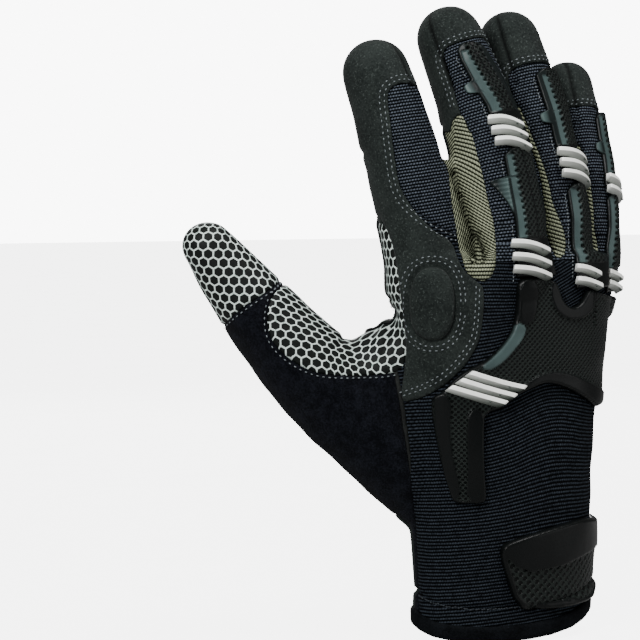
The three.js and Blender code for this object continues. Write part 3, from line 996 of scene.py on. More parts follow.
def cut_along(bm: bmesh.types.BMesh, value: Array, allowed: Array | None = None) -> Array:
    """Cut a mesh's faces along the line where a value is zero.

    Args:
        bm: The mesh.
        value: One value for each vertex.
        allowed: Whether a cut may go through each vertex's edges.

    Returns:
        The values again, with those of the new vertices.
    """
    bm.verts.index_update()
    bm.edges.ensure_lookup_table()
    key = bm.verts.layers.float.new("cut")
    for vert, amount in zip(bm.verts, value):
        vert[key] = amount
    ends = np.array([(e.verts[0].index, e.verts[1].index) for e in bm.edges])
    one, two = value[ends[:, 0]], value[ends[:, 1]]
    crossing = (one > 0) != (two > 0)
    if allowed is not None:
        crossing &= allowed[ends[:, 0]] | allowed[ends[:, 1]]
    edges = [bm.edges[i] for i in np.flatnonzero(crossing)]
    for edge in edges:
        a, b = edge.verts
        if a[key] == 0 or b[key] == 0:
            continue
        share = a[key] / (a[key] - b[key])
        if share < 0.22 or share > 0.78:
            near = a if share < 0.5 else b
            near.co = a.co.lerp(b.co, share)
            near[key] = 0.0
    for edge in edges:
        a, b = edge.verts
        if a[key] == 0 or b[key] == 0:
            continue
        _, vert = bmesh.utils.edge_split(edge, a, a[key] / (a[key] - b[key]))
        vert[key] = 0.0
    bmesh.ops.connect_verts(bm, verts=[v for v in bm.verts if v[key] == 0])
    bm.verts.index_update()
    value = np.array([v[key] for v in bm.verts])
    bm.verts.layers.float.remove(key)
    return value


def face_values(bm: bmesh.types.BMesh, value: Array) -> Array:
    """Average a value over each face's vertices."""
    return np.array([sum(value[v.index] for v in f.verts) / len(f.verts) for f in bm.faces])


def keep_inside(bm: bmesh.types.BMesh, value: Array) -> None:
    """Cut a mesh along a value's zero line and delete the faces where the value is negative.

    Args:
        bm: The mesh.
        value: A value for each of its vertices.
    """
    value = cut_along(bm, value)
    inner = face_values(bm, value) > 0
    bm.faces.ensure_lookup_table()
    doomed = [bm.faces[i] for i in np.flatnonzero(~inner)]
    bmesh.ops.delete(bm, geom=doomed, context="FACES")


def thicken(bm: bmesh.types.BMesh, bottoms: Array, tops: Array) -> Array:
    """Turn an open sheet into a closed solid between two faces.

    Args:
        bm: The sheet.
        bottoms: Each vertex's place on the inner face.
        tops: Its place on the outer face.

    Returns:
        The number of the sheet's vertex that each vertex of the solid comes from.
    """
    key = bm.verts.layers.int.new("origin")
    for i, vert in enumerate(bm.verts):
        vert[key] = i
    sheet = bm.faces[:] + bm.edges[:] + bm.verts[:]
    made = bmesh.ops.extrude_face_region(bm, geom=sheet, use_keep_orig=True)
    raised = {g for g in made["geom"] if isinstance(g, bmesh.types.BMVert)}
    owner = np.array([v[key] for v in bm.verts])
    for vert, i in zip(bm.verts, owner):
        vert.co = Vector(tops[i] if vert in raised else bottoms[i])
    bmesh.ops.recalc_face_normals(bm, faces=bm.faces[:])
    return owner


def border_distance(bm: bmesh.types.BMesh, borders: Array | None = None) -> Array:
    """Measure each vertex's distance to the mesh's open edges, or to given border points.

    Args:
        bm: The mesh.
        borders: The border points, or None for the open edges.

    Returns:
        The distances, or 99 everywhere where there is no border.
    """
    if borders is None:
        edge_points = [v.co[:] for v in bm.verts if v.is_boundary]
        borders = np.array(edge_points)
    if len(borders) == 0:
        return np.full(len(bm.verts), 99.0)
    tree = KDTree(len(borders))
    for i, place in enumerate(borders):
        tree.insert(place, i)
    tree.balance()
    return np.array([tree.find(v.co)[2] for v in bm.verts])


def make_object(
    name: str,
    bm: bmesh.types.BMesh,
    finishes: Sequence[Finish],
    pattern: Field | None = None,
    marks: dict[str, Array] | None = None,
    smooth: bool = True,
) -> bpy.types.Object:
    """Turn a bmesh in millimetres into a finished object at the origin, in metres.

    Args:
        name: The object's name.
        bm: The mesh, freed here.
        finishes: The finishes of its material slots.
        pattern: Works out the points' pattern coordinates, and the whole way round where there is one.
        marks: Named values for each vertex.
        smooth: Whether the faces are shaded smooth.

    Returns:
        The object.
    """
    if pattern is not None:
        bm.verts.index_update()
        flat = pattern(positions(bm))
        layer = bm.loops.layers.uv.new("Pattern")
        period = flat[:, 2] if flat.shape[1] > 2 else np.zeros(len(flat))
        for face in bm.faces:
            first = flat[face.verts[0].index, 0]
            for loop in face.loops:
                u, v = flat[loop.vert.index, :2]
                turn = period[loop.vert.index]
                if turn and abs(u - first) > turn / 2:
                    u += turn if u < first else -turn
                loop[layer].uv = (u, v)
    for key, values in (marks or {}).items():
        layer = bm.verts.layers.float.new(key)
        for vert, value in zip(bm.verts, values):
            vert[layer] = float(value)
    bmesh.ops.scale(bm, vec=(MM, MM, MM), verts=bm.verts)
    for face in bm.faces:
        face.smooth = smooth
    mesh = bpy.data.meshes.new(name)
    bm.to_mesh(mesh)
    bm.free()
    for finish in finishes:
        mesh.materials.append(finish.material())
    made = bpy.data.objects.new(name, mesh)
    bpy.context.scene.collection.objects.link(made)
    return made


def hand_over(made: bpy.types.Object, slot: str, *nodes: str) -> bpy.types.Object:
    """Let a piece ride on the glove and hide the nodes that it stands for.

    Args:
        made: The piece.
        slot: The slot of its material; not used.
        nodes: The solids that it stands for.

    Returns:
        The piece.
    """
    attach(made, "root")
    if nodes:
        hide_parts(*nodes)
    LOG.info("%s: %d faces", made.name, len(made.data.polygons))
    return made


# Outlines across and up, in the plane of the back's view

PLEATS = (
    ((-46.4, 134.4), (-49.5, 126.0), (-54.0, 117.2)),
    ((-44.0, 130.0), (-46.0, 121.0), (-48.5, 113.0)),
    ((-57.0, 131.0), (-60.0, 124.0), (-66.0, 116.0)),
)
KNIT_TOPS = (0.0, 5.5, 14.0, 12.5)
PRINT_TURN = 14.0
PRINT_LOW = (208.0, 209.0, 200.0, 184.0)
TIP_SEAMS = (29.0, -60.0, -46.0, -25.0)
JOINTS = (0.44, 0.71)
HEM = ((-38, -33, -28, -20, -8, 8, 18, 26, 31, 35, 39), (7, 4, 2.2, 0.8, 0, 0, 0.8, 2.6, 5, 8, 11))
STRIPS = ("strip_index_middle", "strip_middle_ring", "strip_ring_little")
HEM_LAPS = {"palm_leather": (-0.5, 0.0), "back_knit": (0.3, 0.0), "thumb_terry": (0.4, 6.0)}
STRIP_FOLD = ((-20.4, 184.0), (-18.8, 177.2), (-17.2, 173.2), (-16.0, 168.4), (-14.4, 163.2), (-13.6, 161.2))
TONGUE = (
    (-12.4, 149.6), (-12.9, 152.4), (-13.4, 157.2), (-13.6, 161.2), (-11.7, 159.4), (-10.0, 156.0),
    (-9.2, 152.4), (-9.0, 150.0),
)

OUTLINES = {
    "thumb_cap": (
        (-112.8, 122), (-109.6, 126), (-102.4, 132), (-95.6, 136.4), (-90, 140.4), (-84, 147),
        (-100, 180), (-145, 180), (-145, 110), (-122, 113),
    ),
    "thumb_saddle": (
        (-90.8, 137.6), (-93.2, 130.4), (-92.8, 120.8), (-87.6, 113.6), (-77.6, 107.2),
        (-67.6, 105.2), (-48.8, 105.2), (-40, 107.2), (-39.2, 117.6), (-41.6, 136), (-43.6, 153.2),
        (-48.4, 165.6), (-62, 165), (-60, 145), (-80, 146),
    ),
    "side_panel": (
        (-48.4, 165.6), (-43.6, 153.2), (-41.6, 136), (-39.2, 117.6), (-40, 107.2), (-42, 94),
        (-34, 96), (-26, 100.4), (-20, 105.2), (-14, 112.4), (-10, 121.2), (-8.8, 139.2),
        (-11.2, 141.2), (-13, 142.2), (-17.5, 146.5), (-20, 152), (-21.2, 157), (-29.2, 161.6),
        (-37.2, 170), (-42.6, 179.6), (-45.8, 204.4), (-47.4, 217), (-49, 240), (-80, 240),
        (-66, 190),
    ),
    "index_knit": (
        (-33.0, 217.4), (-40.8, 219.4), (-46.4, 216.4), (-46.6, 211), (-45.6, 204.4), (-44, 190),
        (-42.4, 179.6), (-40, 174.6), (-37.2, 171), (-31, 165.8), (-24.8, 162.4), (-20.8, 160.6),
        (-14, 160), (-12, 190), (-22, 214),
    ),
    "terry": (
        (-42, 96), (-36.8, 61.2), (-35.2, 29.2), (-34, 0), (-70, 0), (-150, 90), (-150, 190),
        (-60, 190),
    ),
    "thumb_front": (
        (-50, 140), (-40, 96), (-36, 62), (-48, 40), (-150, 60), (-150, 190), (-56, 190),
    ),
    "strip_index_middle": (
        (-22.5, 203), (-22.4, 184.5), (-21.0, 170.8), (-19.6, 163.2), (-18.4, 154.6),
        (-16.1, 145.2), (-12.8, 142.8), (-8.8, 141.6), (-5.6, 143.6), (-4.0, 148.4),
        (-4.4, 156.6), (-5.2, 164.8), (-7.6, 172.8), (-9.6, 184), (-14, 197.2), (-17.0, 206.2),
        (-19.0, 207),
    ),
    "strip_middle_ring": (
        (12.4, 189.2), (14.4, 181.2), (15.6, 172.8), (16.2, 166.4), (16.4, 160.8), (18.2, 154.6),
        (20.2, 151), (21.8, 149.8), (23.9, 152.2), (24.7, 156.5), (23.5, 161.4), (21, 167.5),
        (19, 172), (17.8, 179), (14.8, 189.2), (10.8, 198.6), (6.0, 210.6), (4, 212),
        (9.0, 198.0),
    ),
    "strip_ring_little": (
        (32.4, 189), (33.6, 181.2), (34.4, 172.8), (34.8, 164.8), (35.2, 156.6), (36.8, 150.4),
        (38.6, 147.6), (39, 148.4), (38.4, 154.6), (36.8, 161), (36.8, 168.8), (36, 177), (34, 187),
        (31, 196), (29, 197),
    ),
}
PALM_STRIPS = (
    ((30.8, 200), (36.4, 200), (35.4, 194), (33.6, 188), (32.2, 180), (31.8, 172), (32.2, 165), (31.2, 158),
     (28.4, 156.4), (26.4, 159), (25.2, 165), (23.2, 172), (22, 180), (21.6, 188), (24, 192)),
    ((-11.6, 204), (-4.0, 204), (-5.0, 192), (-6.0, 181), (-6.4, 171), (-5.6, 161), (-5.8, 157),
     (-8.2, 155.6), (-10.6, 159), (-12.6, 169), (-12.8, 181), (-12.2, 193)),
    ((-39.0, 196), (-31.2, 196), (-31.4, 183), (-31.2, 171), (-29.2, 158), (-27.0, 149.6), (-29.4, 146.8),
     (-33.0, 150), (-36.6, 161), (-38.4, 173), (-39.0, 185)),
)
PALM_OUTLINES = {
    "patch": (
        (-33, 143), (-30, 154), (-25, 157), (-20.5, 152), (-18, 141), (-16, 137), (-13.5, 141),
        (-11.5, 152), (-7, 159), (0, 163), (7, 162), (12, 154), (18, 148), (25, 147), (31, 152),
        (37, 166), (43, 170), (52, 167), (60, 155), (60, 140), (56, 124), (47, 112), (45, 100), (48, 84),
        (55, 76), (53, 64), (42, 55), (34, 51), (20, 48), (-11, 46.5), (-18, 50), (-23, 58),
        (-27, 76), (-29, 86), (-26, 93), (-17, 101), (-16, 104), (-19, 107), (-28, 109), (-31.5, 117),
        (-34, 131),
    ),
    "strap": (
        (-48, 42), (-29, 32), (-14.8, 26.4), (-1.2, 26), (8.8, 30.8), (15.6, 34.4), (37, 35.2),
        (39, 31.6), (34.8, 9.2), (30, 8), (-6.4, 8), (-29.2, 10), (-48, 16),
    ),
    "inset": ((5, 25.2), (14.5, 29.6), (36.5, 31), (42, 30.4), (40, 26.4), (7, 24)),
    "loop": (
        (-36.5, 33), (-36.5, 48), (-33.5, 53), (-29.5, 53.5),
        (-26.5, 48.5), (-24, 41), (-20.5, 30), (-29, 30),
    ),
    "band": ((-16, 126), (17.2, 132), (25.6, 120), (-13.2, 113.6)),
    "quad": (
        (36.8, 104), (2, 90), (-6, 84), (-11.2, 71), (-10.5, 65.2), (-1.2, 64.8), (15.6, 68),
        (24.8, 74.8), (39.2, 100.8),
    ),
}
VISIBLE_GROUPS = {
    "fingertip": "suede", "index_side": "suede", "palm_leather": "suede", "back_knit": "back",
    "middle_knit": "back", "ring_knit": "back", "little_knit": "back",
}


@dataclass
class PanelSize:
    """How a sewn panel lies: its finish, its wall, and how its edge is turned."""

    finish: Finish
    slot: str
    lift: float = 0.0
    edge_drop: float = 0.55
    edge_wide: float = 1.1
    wall: float = 1.7


@dataclass
class SewnShell:
    """The knitted, suede and leather panels that make up the glove's wall."""

    skin: Skin
    palm_edge: float = 5.0
    palm_rise: float = 0.13
    palm_top: float = 206.0
    finger_radius: float = 14.0
    knit_half_turn: float = math.radians(60)
    knit_corner: float = 5.0
    index_half_turn: float = math.radians(64)
    index_depth: float = 22.0
    index_slant: float = 0.16
    front_turn: float = math.radians(112)
    strip_starts: tuple[float, float] = (math.radians(60), math.radians(52))
    strip_half_turns: tuple[float, ...] = (30, 27, 25)
    strip_spans: tuple[tuple[float, float], ...] = ((150.0, 200.0), (156.0, 207.0), (154.0, 196.0))
    strip_lap: float = 0.5
    first_strip_back: float = 188.0
    tip_levels: tuple[float, ...] = (198.0, 200.0, 192.0, 178.0)
    print_half_turn: float = math.radians(53)
    print_beyond: float = 9.0
    print_slant: float = 7.5
    dart_wide: float = 0.8
    dart_span: tuple[float, float] = (24.0, 20.0)
    fold_wide: float = 1.1
    lap_side: float = 30.0
    lap_fade: tuple[float, float] = (32.0, 42.0)
    sizes: dict[str, PanelSize] = field(default_factory=dict)
    borders: dict[str, Array] = field(default_factory=dict)

    def __post_init__(self) -> None:
        """Set how each panel lies."""
        suede = PanelSize(Finish.SUEDE, "suede", 0.35, 0.3, 0.7)
        knit = PanelSize(Finish.FINGER_KNIT, "knit")
        khaki = PanelSize(Finish.KHAKI_KNIT, "khaki", 0.0, 0.5, 0.9, 1.6)
        printed = PanelSize(Finish.PRINT, "print", 0.2, 0.7, 0.9)
        self.sizes = {f"side_{name}": khaki for name in STRIPS}
        for finger in FINGERS:
            self.sizes |= {f"{finger.name}_knit": knit, f"fingertip_{finger.name}": suede}
        self.sizes |= {
            "thumb_cap": printed, "thumb_saddle": printed, "index_side_panel": suede,
            "thumb_terry": PanelSize(Finish.TERRY, "terry", 0.1, 0.8, 1.2),
            "thumb_front": PanelSize(Finish.LEATHER, "leather", 0.1, 0.6),
            "palm_leather": PanelSize(Finish.SUEDE, "leather", 0.35, 0.3, 0.7),
            "back_knit": PanelSize(Finish.BACK_KNIT, "knit"),
        }

    def cell(self, finger: int, points: Array) -> Array:
        """Tell how far points lie on a finger's own side of the middle between fingers.

        Args:
            finger: The finger's number.
            points: The points, three values each.

        Returns:
            Distances, positive inside.
        """
        gaps = []
        for size, line in zip(FINGERS, self.skin.form.lines):
            gaps.append(line.locate(points)[2] - size.radii[2])
        rest = np.min([g for i, g in enumerate(gaps) if i != finger], axis=0)
        return (rest - gaps[finger]) / 2

    def strip(self, number: int, points: Array) -> Array:
        """Give the field of the knitted strip between a finger and the next.

        Args:
            number: The strip's number.
            points: The points, three values each.

        Returns:
            Distances, positive inside.
        """
        outline = smooth_line(OUTLINES[STRIPS[number]], 2)
        one, two = FINGERS[number], FINGERS[number + 1]
        middle = (one.centre(points[:, 2])[:, 1] + two.centre(points[:, 2])[:, 1]) / 2
        shown = np.minimum(inside_distance(outline, seen(points)), middle + 4 - points[:, 1])
        lines = self.skin.form.lines
        _, turn_one, _ = lines[number].locate(points)
        _, turn_two, _ = lines[number + 1].locate(points)
        start_one, start_two = self.strip_starts
        wide = math.radians(self.strip_half_turns[number])
        facing_one = self.finger_radius * (wide - np.abs(turn_one - start_one - wide))
        facing_two = self.finger_radius * (wide - np.abs(turn_two + start_two + wide))
        near_one = self.cell(number, points) + self.strip_lap
        near_two = self.cell(number + 1, points) + self.strip_lap
        sides = np.maximum(np.minimum(facing_one, near_one), np.minimum(facing_two, near_two))
        low, top = self.strip_spans[number]
        hidden = np.minimum(sides, np.minimum(points[:, 2] - low, top - points[:, 2]))
        if number == 0:
            back = np.maximum(points[:, 2] - self.first_strip_back, middle - points[:, 1])
            hidden = np.minimum(hidden, back)
        front = smooth_line(PALM_STRIPS[number], 2)
        front = np.minimum(inside_distance(front, palm_seen(points)), points[:, 1] - middle - 1)
        return np.maximum(np.maximum(shown, hidden), front)

    def finger_knit(self, finger: int, points: Array) -> Array:
        """Give the field of the knit on the back of the middle, ring or little finger.

        Args:
            finger: The finger's number.
            points: The points, three values each.

        Returns:
            Distances, positive inside.
        """
        line = self.skin.form.lines[finger]
        s, turn, _ = line.locate(points)
        radius = FINGERS[finger].radii[-1]
        beside = radius * (self.knit_half_turn - np.abs(turn))
        above = line.length[-1] - KNIT_TOPS[finger] - s
        corner = self.knit_corner
        rounded = corner - np.hypot(np.maximum(corner - beside, 0), np.maximum(corner - above, 0))
        low = points[:, 2] - (CROTCH - 6)
        return np.minimum(np.minimum(rounded, low), self.cell(finger, points))

    def index_knit(self, points: Array) -> Array:
        """Give the field of the knit on the back of the index finger.

        Args:
            points: The points, three values each.

        Returns:
            Distances, positive inside.
        """
        outline = smooth_line(OUTLINES["index_knit"], 2)
        _, turn, _ = self.skin.form.lines[0].locate(points)
        beside = self.finger_radius * (self.index_half_turn - turn)
        shown = np.minimum(inside_distance(outline, seen(points)), beside)
        return np.minimum(np.minimum(shown, self.cell(0, points)), self.index_depth - points[:, 1])

    def palm(self, points: Array) -> Array:
        """Give the field of the palm with the fronts of the fingers.

        Args:
            points: The points, three values each.

        Returns:
            Distances, positive inside.
        """
        best = np.minimum(points[:, 1] - self.palm_edge, CROTCH + 3 - points[:, 2])
        level = self.palm_edge + self.palm_rise * np.maximum(points[:, 2] - KNUCKLE, 0)
        best = np.maximum(best, np.minimum(points[:, 1] - level, self.palm_top - points[:, 2]))
        for i, line in enumerate(self.skin.form.lines):
            _, turn, _ = line.locate(points)
            front = FINGERS[i].radii[2] * (np.abs(turn) - self.front_turn)
            on_finger = np.minimum(front, points[:, 2] - CROTCH + 8)
            best = np.maximum(best, np.minimum(on_finger, self.cell(i, points)))
        return best

    def tip(self, finger: int, level: float, points: Array) -> Array:
        """Give the field of a fingertip's cap."""
        return np.minimum(points[:, 2] - level, self.cell(finger, points))

    def drawn(self, key: str, depth: float, points: Array) -> Array:
        """Give the field of a panel whose outline is drawn in the back's view."""
        flat = inside_distance(smooth_line(OUTLINES[key], 2), seen(points))
        return np.minimum(flat, -depth - away(points))

    def rest(self, points: Array) -> Array:
        """Give the field of the back's knit, which takes all that is left."""
        return np.ones(len(points))

    def fields(self) -> dict[str, Field]:
        """Name every panel's field, in the order in which they share out the skin.

        Returns:
            The fields by the panels' names.
        """
        made: dict[str, Field] = {f"side_{name}": partial(self.strip, i) for i, name in enumerate(STRIPS)}
        made["index_knit"] = self.index_knit
        made |= {f"{FINGERS[i].name}_knit": partial(self.finger_knit, i) for i in (1, 2, 3)}
        for i, level in enumerate(self.tip_levels):
            made[f"fingertip_{FINGERS[i].name}"] = partial(self.tip, i, level)
        return made | {
            "thumb_cap": partial(self.drawn, "thumb_cap", -90),
            "thumb_saddle": partial(self.drawn, "thumb_saddle", 8),
            "thumb_terry": partial(self.drawn, "terry", 14),
            "index_side_panel": partial(self.drawn, "side_panel", 8),
            "thumb_front": partial(self.drawn, "thumb_front", -40),
            "palm_leather": self.palm,
            "back_knit": self.rest,
        }

    def build(self) -> list[bpy.types.Object]:
        """Cut the skin into its panels and dress them.

        Returns:
            The panels' objects.
        """
        bm = self.skin.bm.copy()
        names, fields = list(self.fields()), list(self.fields().values())
        values = np.array([f(positions(bm)) for f in fields])
        for k in range(len(names) - 1):
            taken = values[:k].max(axis=0) if k else np.full(values.shape[1], -1.0)
            fresh = cut_along(bm, values[k], taken < 0.6)
            added = len(fresh) - values.shape[1]
            if added:
                extra = np.array([f(positions(bm)[-added:]) for f in fields])
                values = np.concatenate([values, extra], axis=1)
            values[k] = fresh
        layer = bm.faces.layers.int.new("panel")
        owner = np.argmax(np.array([face_values(bm, row) for row in values]) > 0, axis=0)
        for face, number in zip(bm.faces, owner):
            face[layer] = int(number)
        self._find_borders(bm, layer, names)
        made = [self._panel(bm, k, name) for k, name in enumerate(names)]
        bm.free()
        return made

    def _group(self, name: str) -> str:
        """Name the run of panels that show no seam between them."""
        return next((group for start, group in VISIBLE_GROUPS.items() if name.startswith(start)), name)

    def _find_borders(self, bm: bmesh.types.BMesh, layer: object, names: list[str]) -> None:
        """Collect the points of each panel's seams that show.

        Args:
            bm: The mesh.
            layer: The layer that holds each face's panel number.
            names: The panels' names, in the order of their numbers.
        """
        found: dict[str, list] = {name: [] for name in names}
        for edge in bm.edges:
            owners = {f[layer] for f in edge.link_faces}
            if len({self._group(names[k]) for k in owners}) < 2:
                continue
            middle = (edge.verts[0].co + edge.verts[1].co) / 2
            for k in owners:
                found[names[k]].extend([edge.verts[0].co[:], middle[:]])
        self.borders = {k: np.array(v) for k, v in found.items()}

    def _panel(self, whole: bmesh.types.BMesh, number: int, name: str) -> bpy.types.Object:
        """Take one panel out of the skin, turn its edges in and give it its wall.

        Args:
            whole: The whole skin.
            number: The panel's number.
            name: The panel's name.

        Returns:
            The panel.
        """
        size = self.sizes[name]
        bm = whole.copy()
        key = bm.faces.layers.int["panel"]
        doomed = [f for f in bm.faces if f[key] != number]
        bmesh.ops.delete(bm, geom=doomed, context="FACES")
        gap = border_distance(bm, self.borders[name])
        move = size.lift - (size.edge_drop + size.lift * 0.3) * bell(gap, size.edge_wide)
        for vert, way, shift in zip(bm.verts, self._outward(bm), move):
            vert.co += Vector(way * shift)
        # By the open hem the sides' borders lap over each other, so that no light shows between them.
        lap, least = HEM_LAPS.get(name, (0.0, 0.0))
        for vert in bm.verts:
            if lap and vert.is_boundary and abs(vert.co.x) > self.lap_side and vert.co.y > least:
                vert.co.y += lap * float(1 - step(vert.co.z, *self.lap_fade))
        finishes = [size.finish]
        if name.startswith("fingertip"):
            finishes.append(Finish.PRINT)
            self._mark_print(bm, FINGER_NUMBERS[name.split("_")[1]])
        marks = self._fold_shade(positions(bm), name)
        made = make_object(f"{name}_sewn", bm, finishes, self._pattern(name), marks)
        wall = made.modifiers.new("wall", "SOLIDIFY")
        wall.thickness = size.wall * MM
        wall.offset = -1.0
        wall.use_quality_normals = True
        return hand_over(made, size.slot, name)

    def _fold_shade(self, points: Array, name: str) -> dict[str, Array]:
        """Mark painted shade along the dart on a fingertip's back, or in the folds of the first side strip.

        Args:
            points: The panel's points, three values each.
            name: The panel's name.

        Returns:
            The share of painted shade for each point, or nothing.
        """
        if name.startswith("fingertip"):
            finger = FINGER_NUMBERS[name.split("_")[1]]
            line = self.skin.form.lines[finger]
            s, turn, reach = line.locate(points)
            gap = (turn - math.radians(TIP_SEAMS[finger])) * reach
            low, high = line.length[-1] - self.dart_span[0], line.length[-1] - self.dart_span[1]
            return {"Fold": 0.8 * bell(gap, self.dart_wide) * step(s, low, high)}
        if name == "side_strip_index_middle":
            deep = 0.55 + 0.4 * step(-points[:, 2], -172, -162)
            return {"Fold": deep * bell(fold_distance(points), self.fold_wide)}
        return {}

    def _outward(self, bm: bmesh.types.BMesh) -> Array:
        """Give the way out at each of a panel's vertices.

        Args:
            bm: The panel.

        Returns:
            Unit directions, three values each.
        """
        skin = np.array([self.skin.tree.find_nearest(v.co)[1][:] for v in bm.verts])
        bm.normal_update()
        own = np.array([v.normal[:] for v in bm.verts])
        # Two panels share their border's points, so there both go the skin's way and leave no gap.
        border = np.array([v.is_boundary for v in bm.verts])
        own[border] = skin[border]
        way = own + skin
        return way / np.maximum(np.linalg.norm(way, axis=1), 1e-6)[:, None]

    def _mark_print(self, bm: bmesh.types.BMesh, finger: int) -> None:
        """Cut the printed area of a fingertip's front out of its faces and give it its finish.

        Args:
            bm: The fingertip.
            finger: The finger's number.
        """
        line = self.skin.form.lines[finger]
        points = positions(bm)
        s, turn, _ = line.locate(points)
        round_ = (turn - math.radians(PRINT_TURN)) % (2 * math.pi) - math.pi
        beside = FINGERS[finger].radii[-1] * (self.print_half_turn - np.abs(round_))
        low = points[:, 2] - PRINT_LOW[finger] - self.print_slant * round_
        end = np.minimum(line.length[-1] + self.print_beyond - s, low)
        value = cut_along(bm, np.minimum(beside, end))
        for face, share in zip(bm.faces, face_values(bm, value)):
            face.material_index = 1 if share > 0 else 0

    def _round_finger(self, finger: int, reference: float, points: Array) -> Array:
        """Lay a pattern out round a finger and along it.

        Args:
            finger: The finger's number.
            reference: The angle round the finger at which the pattern has its middle.
            points: The points, three values each.

        Returns:
            The pattern coordinates: the way round, the way along and the whole way round.
        """
        s, turn, _ = self.skin.form.lines[finger].locate(points)
        radius = FINGERS[finger].radii[-1]
        around = (turn - reference + math.pi) % (2 * math.pi) - math.pi
        return np.stack([around * radius, s, np.full(len(points), 2 * math.pi * radius)], axis=1)

    def _slanted(self, points: Array) -> Array:
        """Lay the index finger's knit out, whose courses rise to the right."""
        flat = seen(points)
        return np.stack([flat[:, 0], flat[:, 1] - self.index_slant * flat[:, 0]], axis=1)

    def _back(self, points: Array) -> Array:
        """Lay the back's knit out: its courses arch under the plate and lean on the finger roots.

        Args:
            points: The points, three values each.

        Returns:
            The pattern coordinates: the way round the hand, the way along and the whole way round.
        """
        flat = seen(points)
        arch = 7 * bell(flat[:, 0] - 18, 17) * step(flat[:, 1], 30, 95)
        high = step(flat[:, 1], 110, 135)
        tilt = (0.08 - 0.1 * high) * flat[:, 0]
        around = round_hand(points)
        lobe = step(flat[:, 0], 17, 19) * step(flat[:, 1], 125, 130)
        tilt += 0.6 * (flat[:, 0] - 18) * lobe
        rows = flat[:, 1] - arch * (1 - high) - tilt
        return np.stack([around[:, 0], rows, around[:, 1]], axis=1)

    def _strip_rows(self, number: int, points: Array) -> Array:
        """Lay a side strip's knit out: in the first one its courses meet at the fold.

        Args:
            number: The strip's number.
            points: The points, three values each.

        Returns:
            The pattern coordinates: the way across and the way along.
        """
        if number:
            outline = np.array(OUTLINES[STRIPS[number]])
            u = across(points) - outline[:, 0].mean()
            return np.stack([u, points[:, 2] + 0.3 * u], axis=1)
        fold = np.array(STRIP_FOLD + ((-10.6, 150.0),))[::-1]
        u = across(points) - np.interp(points[:, 2], fold[:, 1], fold[:, 0])
        lean = np.where(u < 0, -1.6, 0.7) * step(points[:, 2], 149.5, 154)
        lean *= inside_distance(np.array(TONGUE), seen(points)) < 0
        lean *= np.where(u > 0, 1 - 0.7 * step(points[:, 2], 172, 200), 1)
        return np.stack([u, points[:, 2] + lean * u], axis=1)

    def _cap(self, points: Array) -> Array:
        """Lay the thumb cap's print out from its middle, so that the cells keep their size round it.

        Args:
            points: The points, three values each.

        Returns:
            The pattern coordinates: the way across and the way along.
        """
        thumb = self.skin.form.thumb
        s, _, _ = thumb.locate(points)
        centre = thumb.frame(s)[0]
        arm = points - centre
        flat = seen(arm)
        wide = np.maximum(np.linalg.norm(flat, axis=1), 1e-6)
        turned = np.arctan2(wide, np.abs(away(arm))) * np.linalg.norm(arm, axis=1)
        return seen(centre) + flat * (turned / wide)[:, None]

    def _saddle(self, points: Array) -> Array:
        """Lay the thumb saddle's print out over the crest of the web.

        Args:
            points: The points, three values each.

        Returns:
            The pattern coordinates: the way across and the way along.
        """
        turn = step(across(points), -72, -46) * math.pi / 2
        depth = 0.95 * (away(points) + 22)
        return seen(points) + np.stack([-np.sin(turn) * depth, np.cos(turn) * depth], axis=1)

    def _pattern(self, name: str) -> Field:
        """Give the way that a panel's knit or print runs over it.

        Args:
            name: The panel's name.

        Returns:
            A function from points to pattern coordinates.
        """
        own = {
            "index_knit": self._slanted, "back_knit": self._back,
            "thumb_cap": self._cap, "thumb_saddle": self._saddle,
        }
        if name in own:
            return own[name]
        if name.startswith("side_strip"):
            return partial(self._strip_rows, STRIPS.index(name[5:]))
        if name.endswith("_knit"):
            return partial(self._round_finger, FINGER_NUMBERS[name.split("_")[0]], 0.0)
        if name.startswith("fingertip"):
            return partial(self._round_finger, FINGER_NUMBERS[name.split("_")[1]], math.pi)
        return palm_seen


# Pieces that lie on the skin


def rolled(gap: Array, radius: float) -> Array:
    """Give the share of a moulded edge's full height at distances from its border."""
    share = np.clip(gap / radius, 0, 1)
    return 0.35 + 0.65 * np.sqrt(1 - (1 - share) ** 2)


def round_hand(points: Array) -> Array:
    """Give the way round the hand from the thumb side, and the whole way round, in millimetres.

    Args:
        points: The points, three values each.

    Returns:
        Two values for each point.
    """
    turn = np.linspace(-math.pi, math.pi, 361)
    oval = np.stack([np.cos(turn), np.sin(turn)], axis=1)
    oval = np.sign(oval) * np.abs(oval) ** 0.87
    sides = np.linalg.norm(np.diff(oval * [41, 22], axis=0), axis=1)
    length = np.concatenate([[0], np.cumsum(sides)])
    place = np.arctan2(points[:, 1] / 22, points[:, 0] / 41)
    way = np.interp(place, np.arctan2(oval[:, 1], oval[:, 0])[1:-1], length[1:-1])
    return np.stack([way, np.full(len(way), length[-1])], axis=1)


def seen_pattern(points: Array) -> Array:
    """Lay a pattern out round the hand and up."""
    around = round_hand(points)
    return np.stack([around[:, 0], points[:, 2], around[:, 1]], axis=1)


def tab_pattern(points: Array) -> Array:
    """Lay the strap tab's larger dimples out round the hand and up."""
    return seen_pattern(points) * 0.6


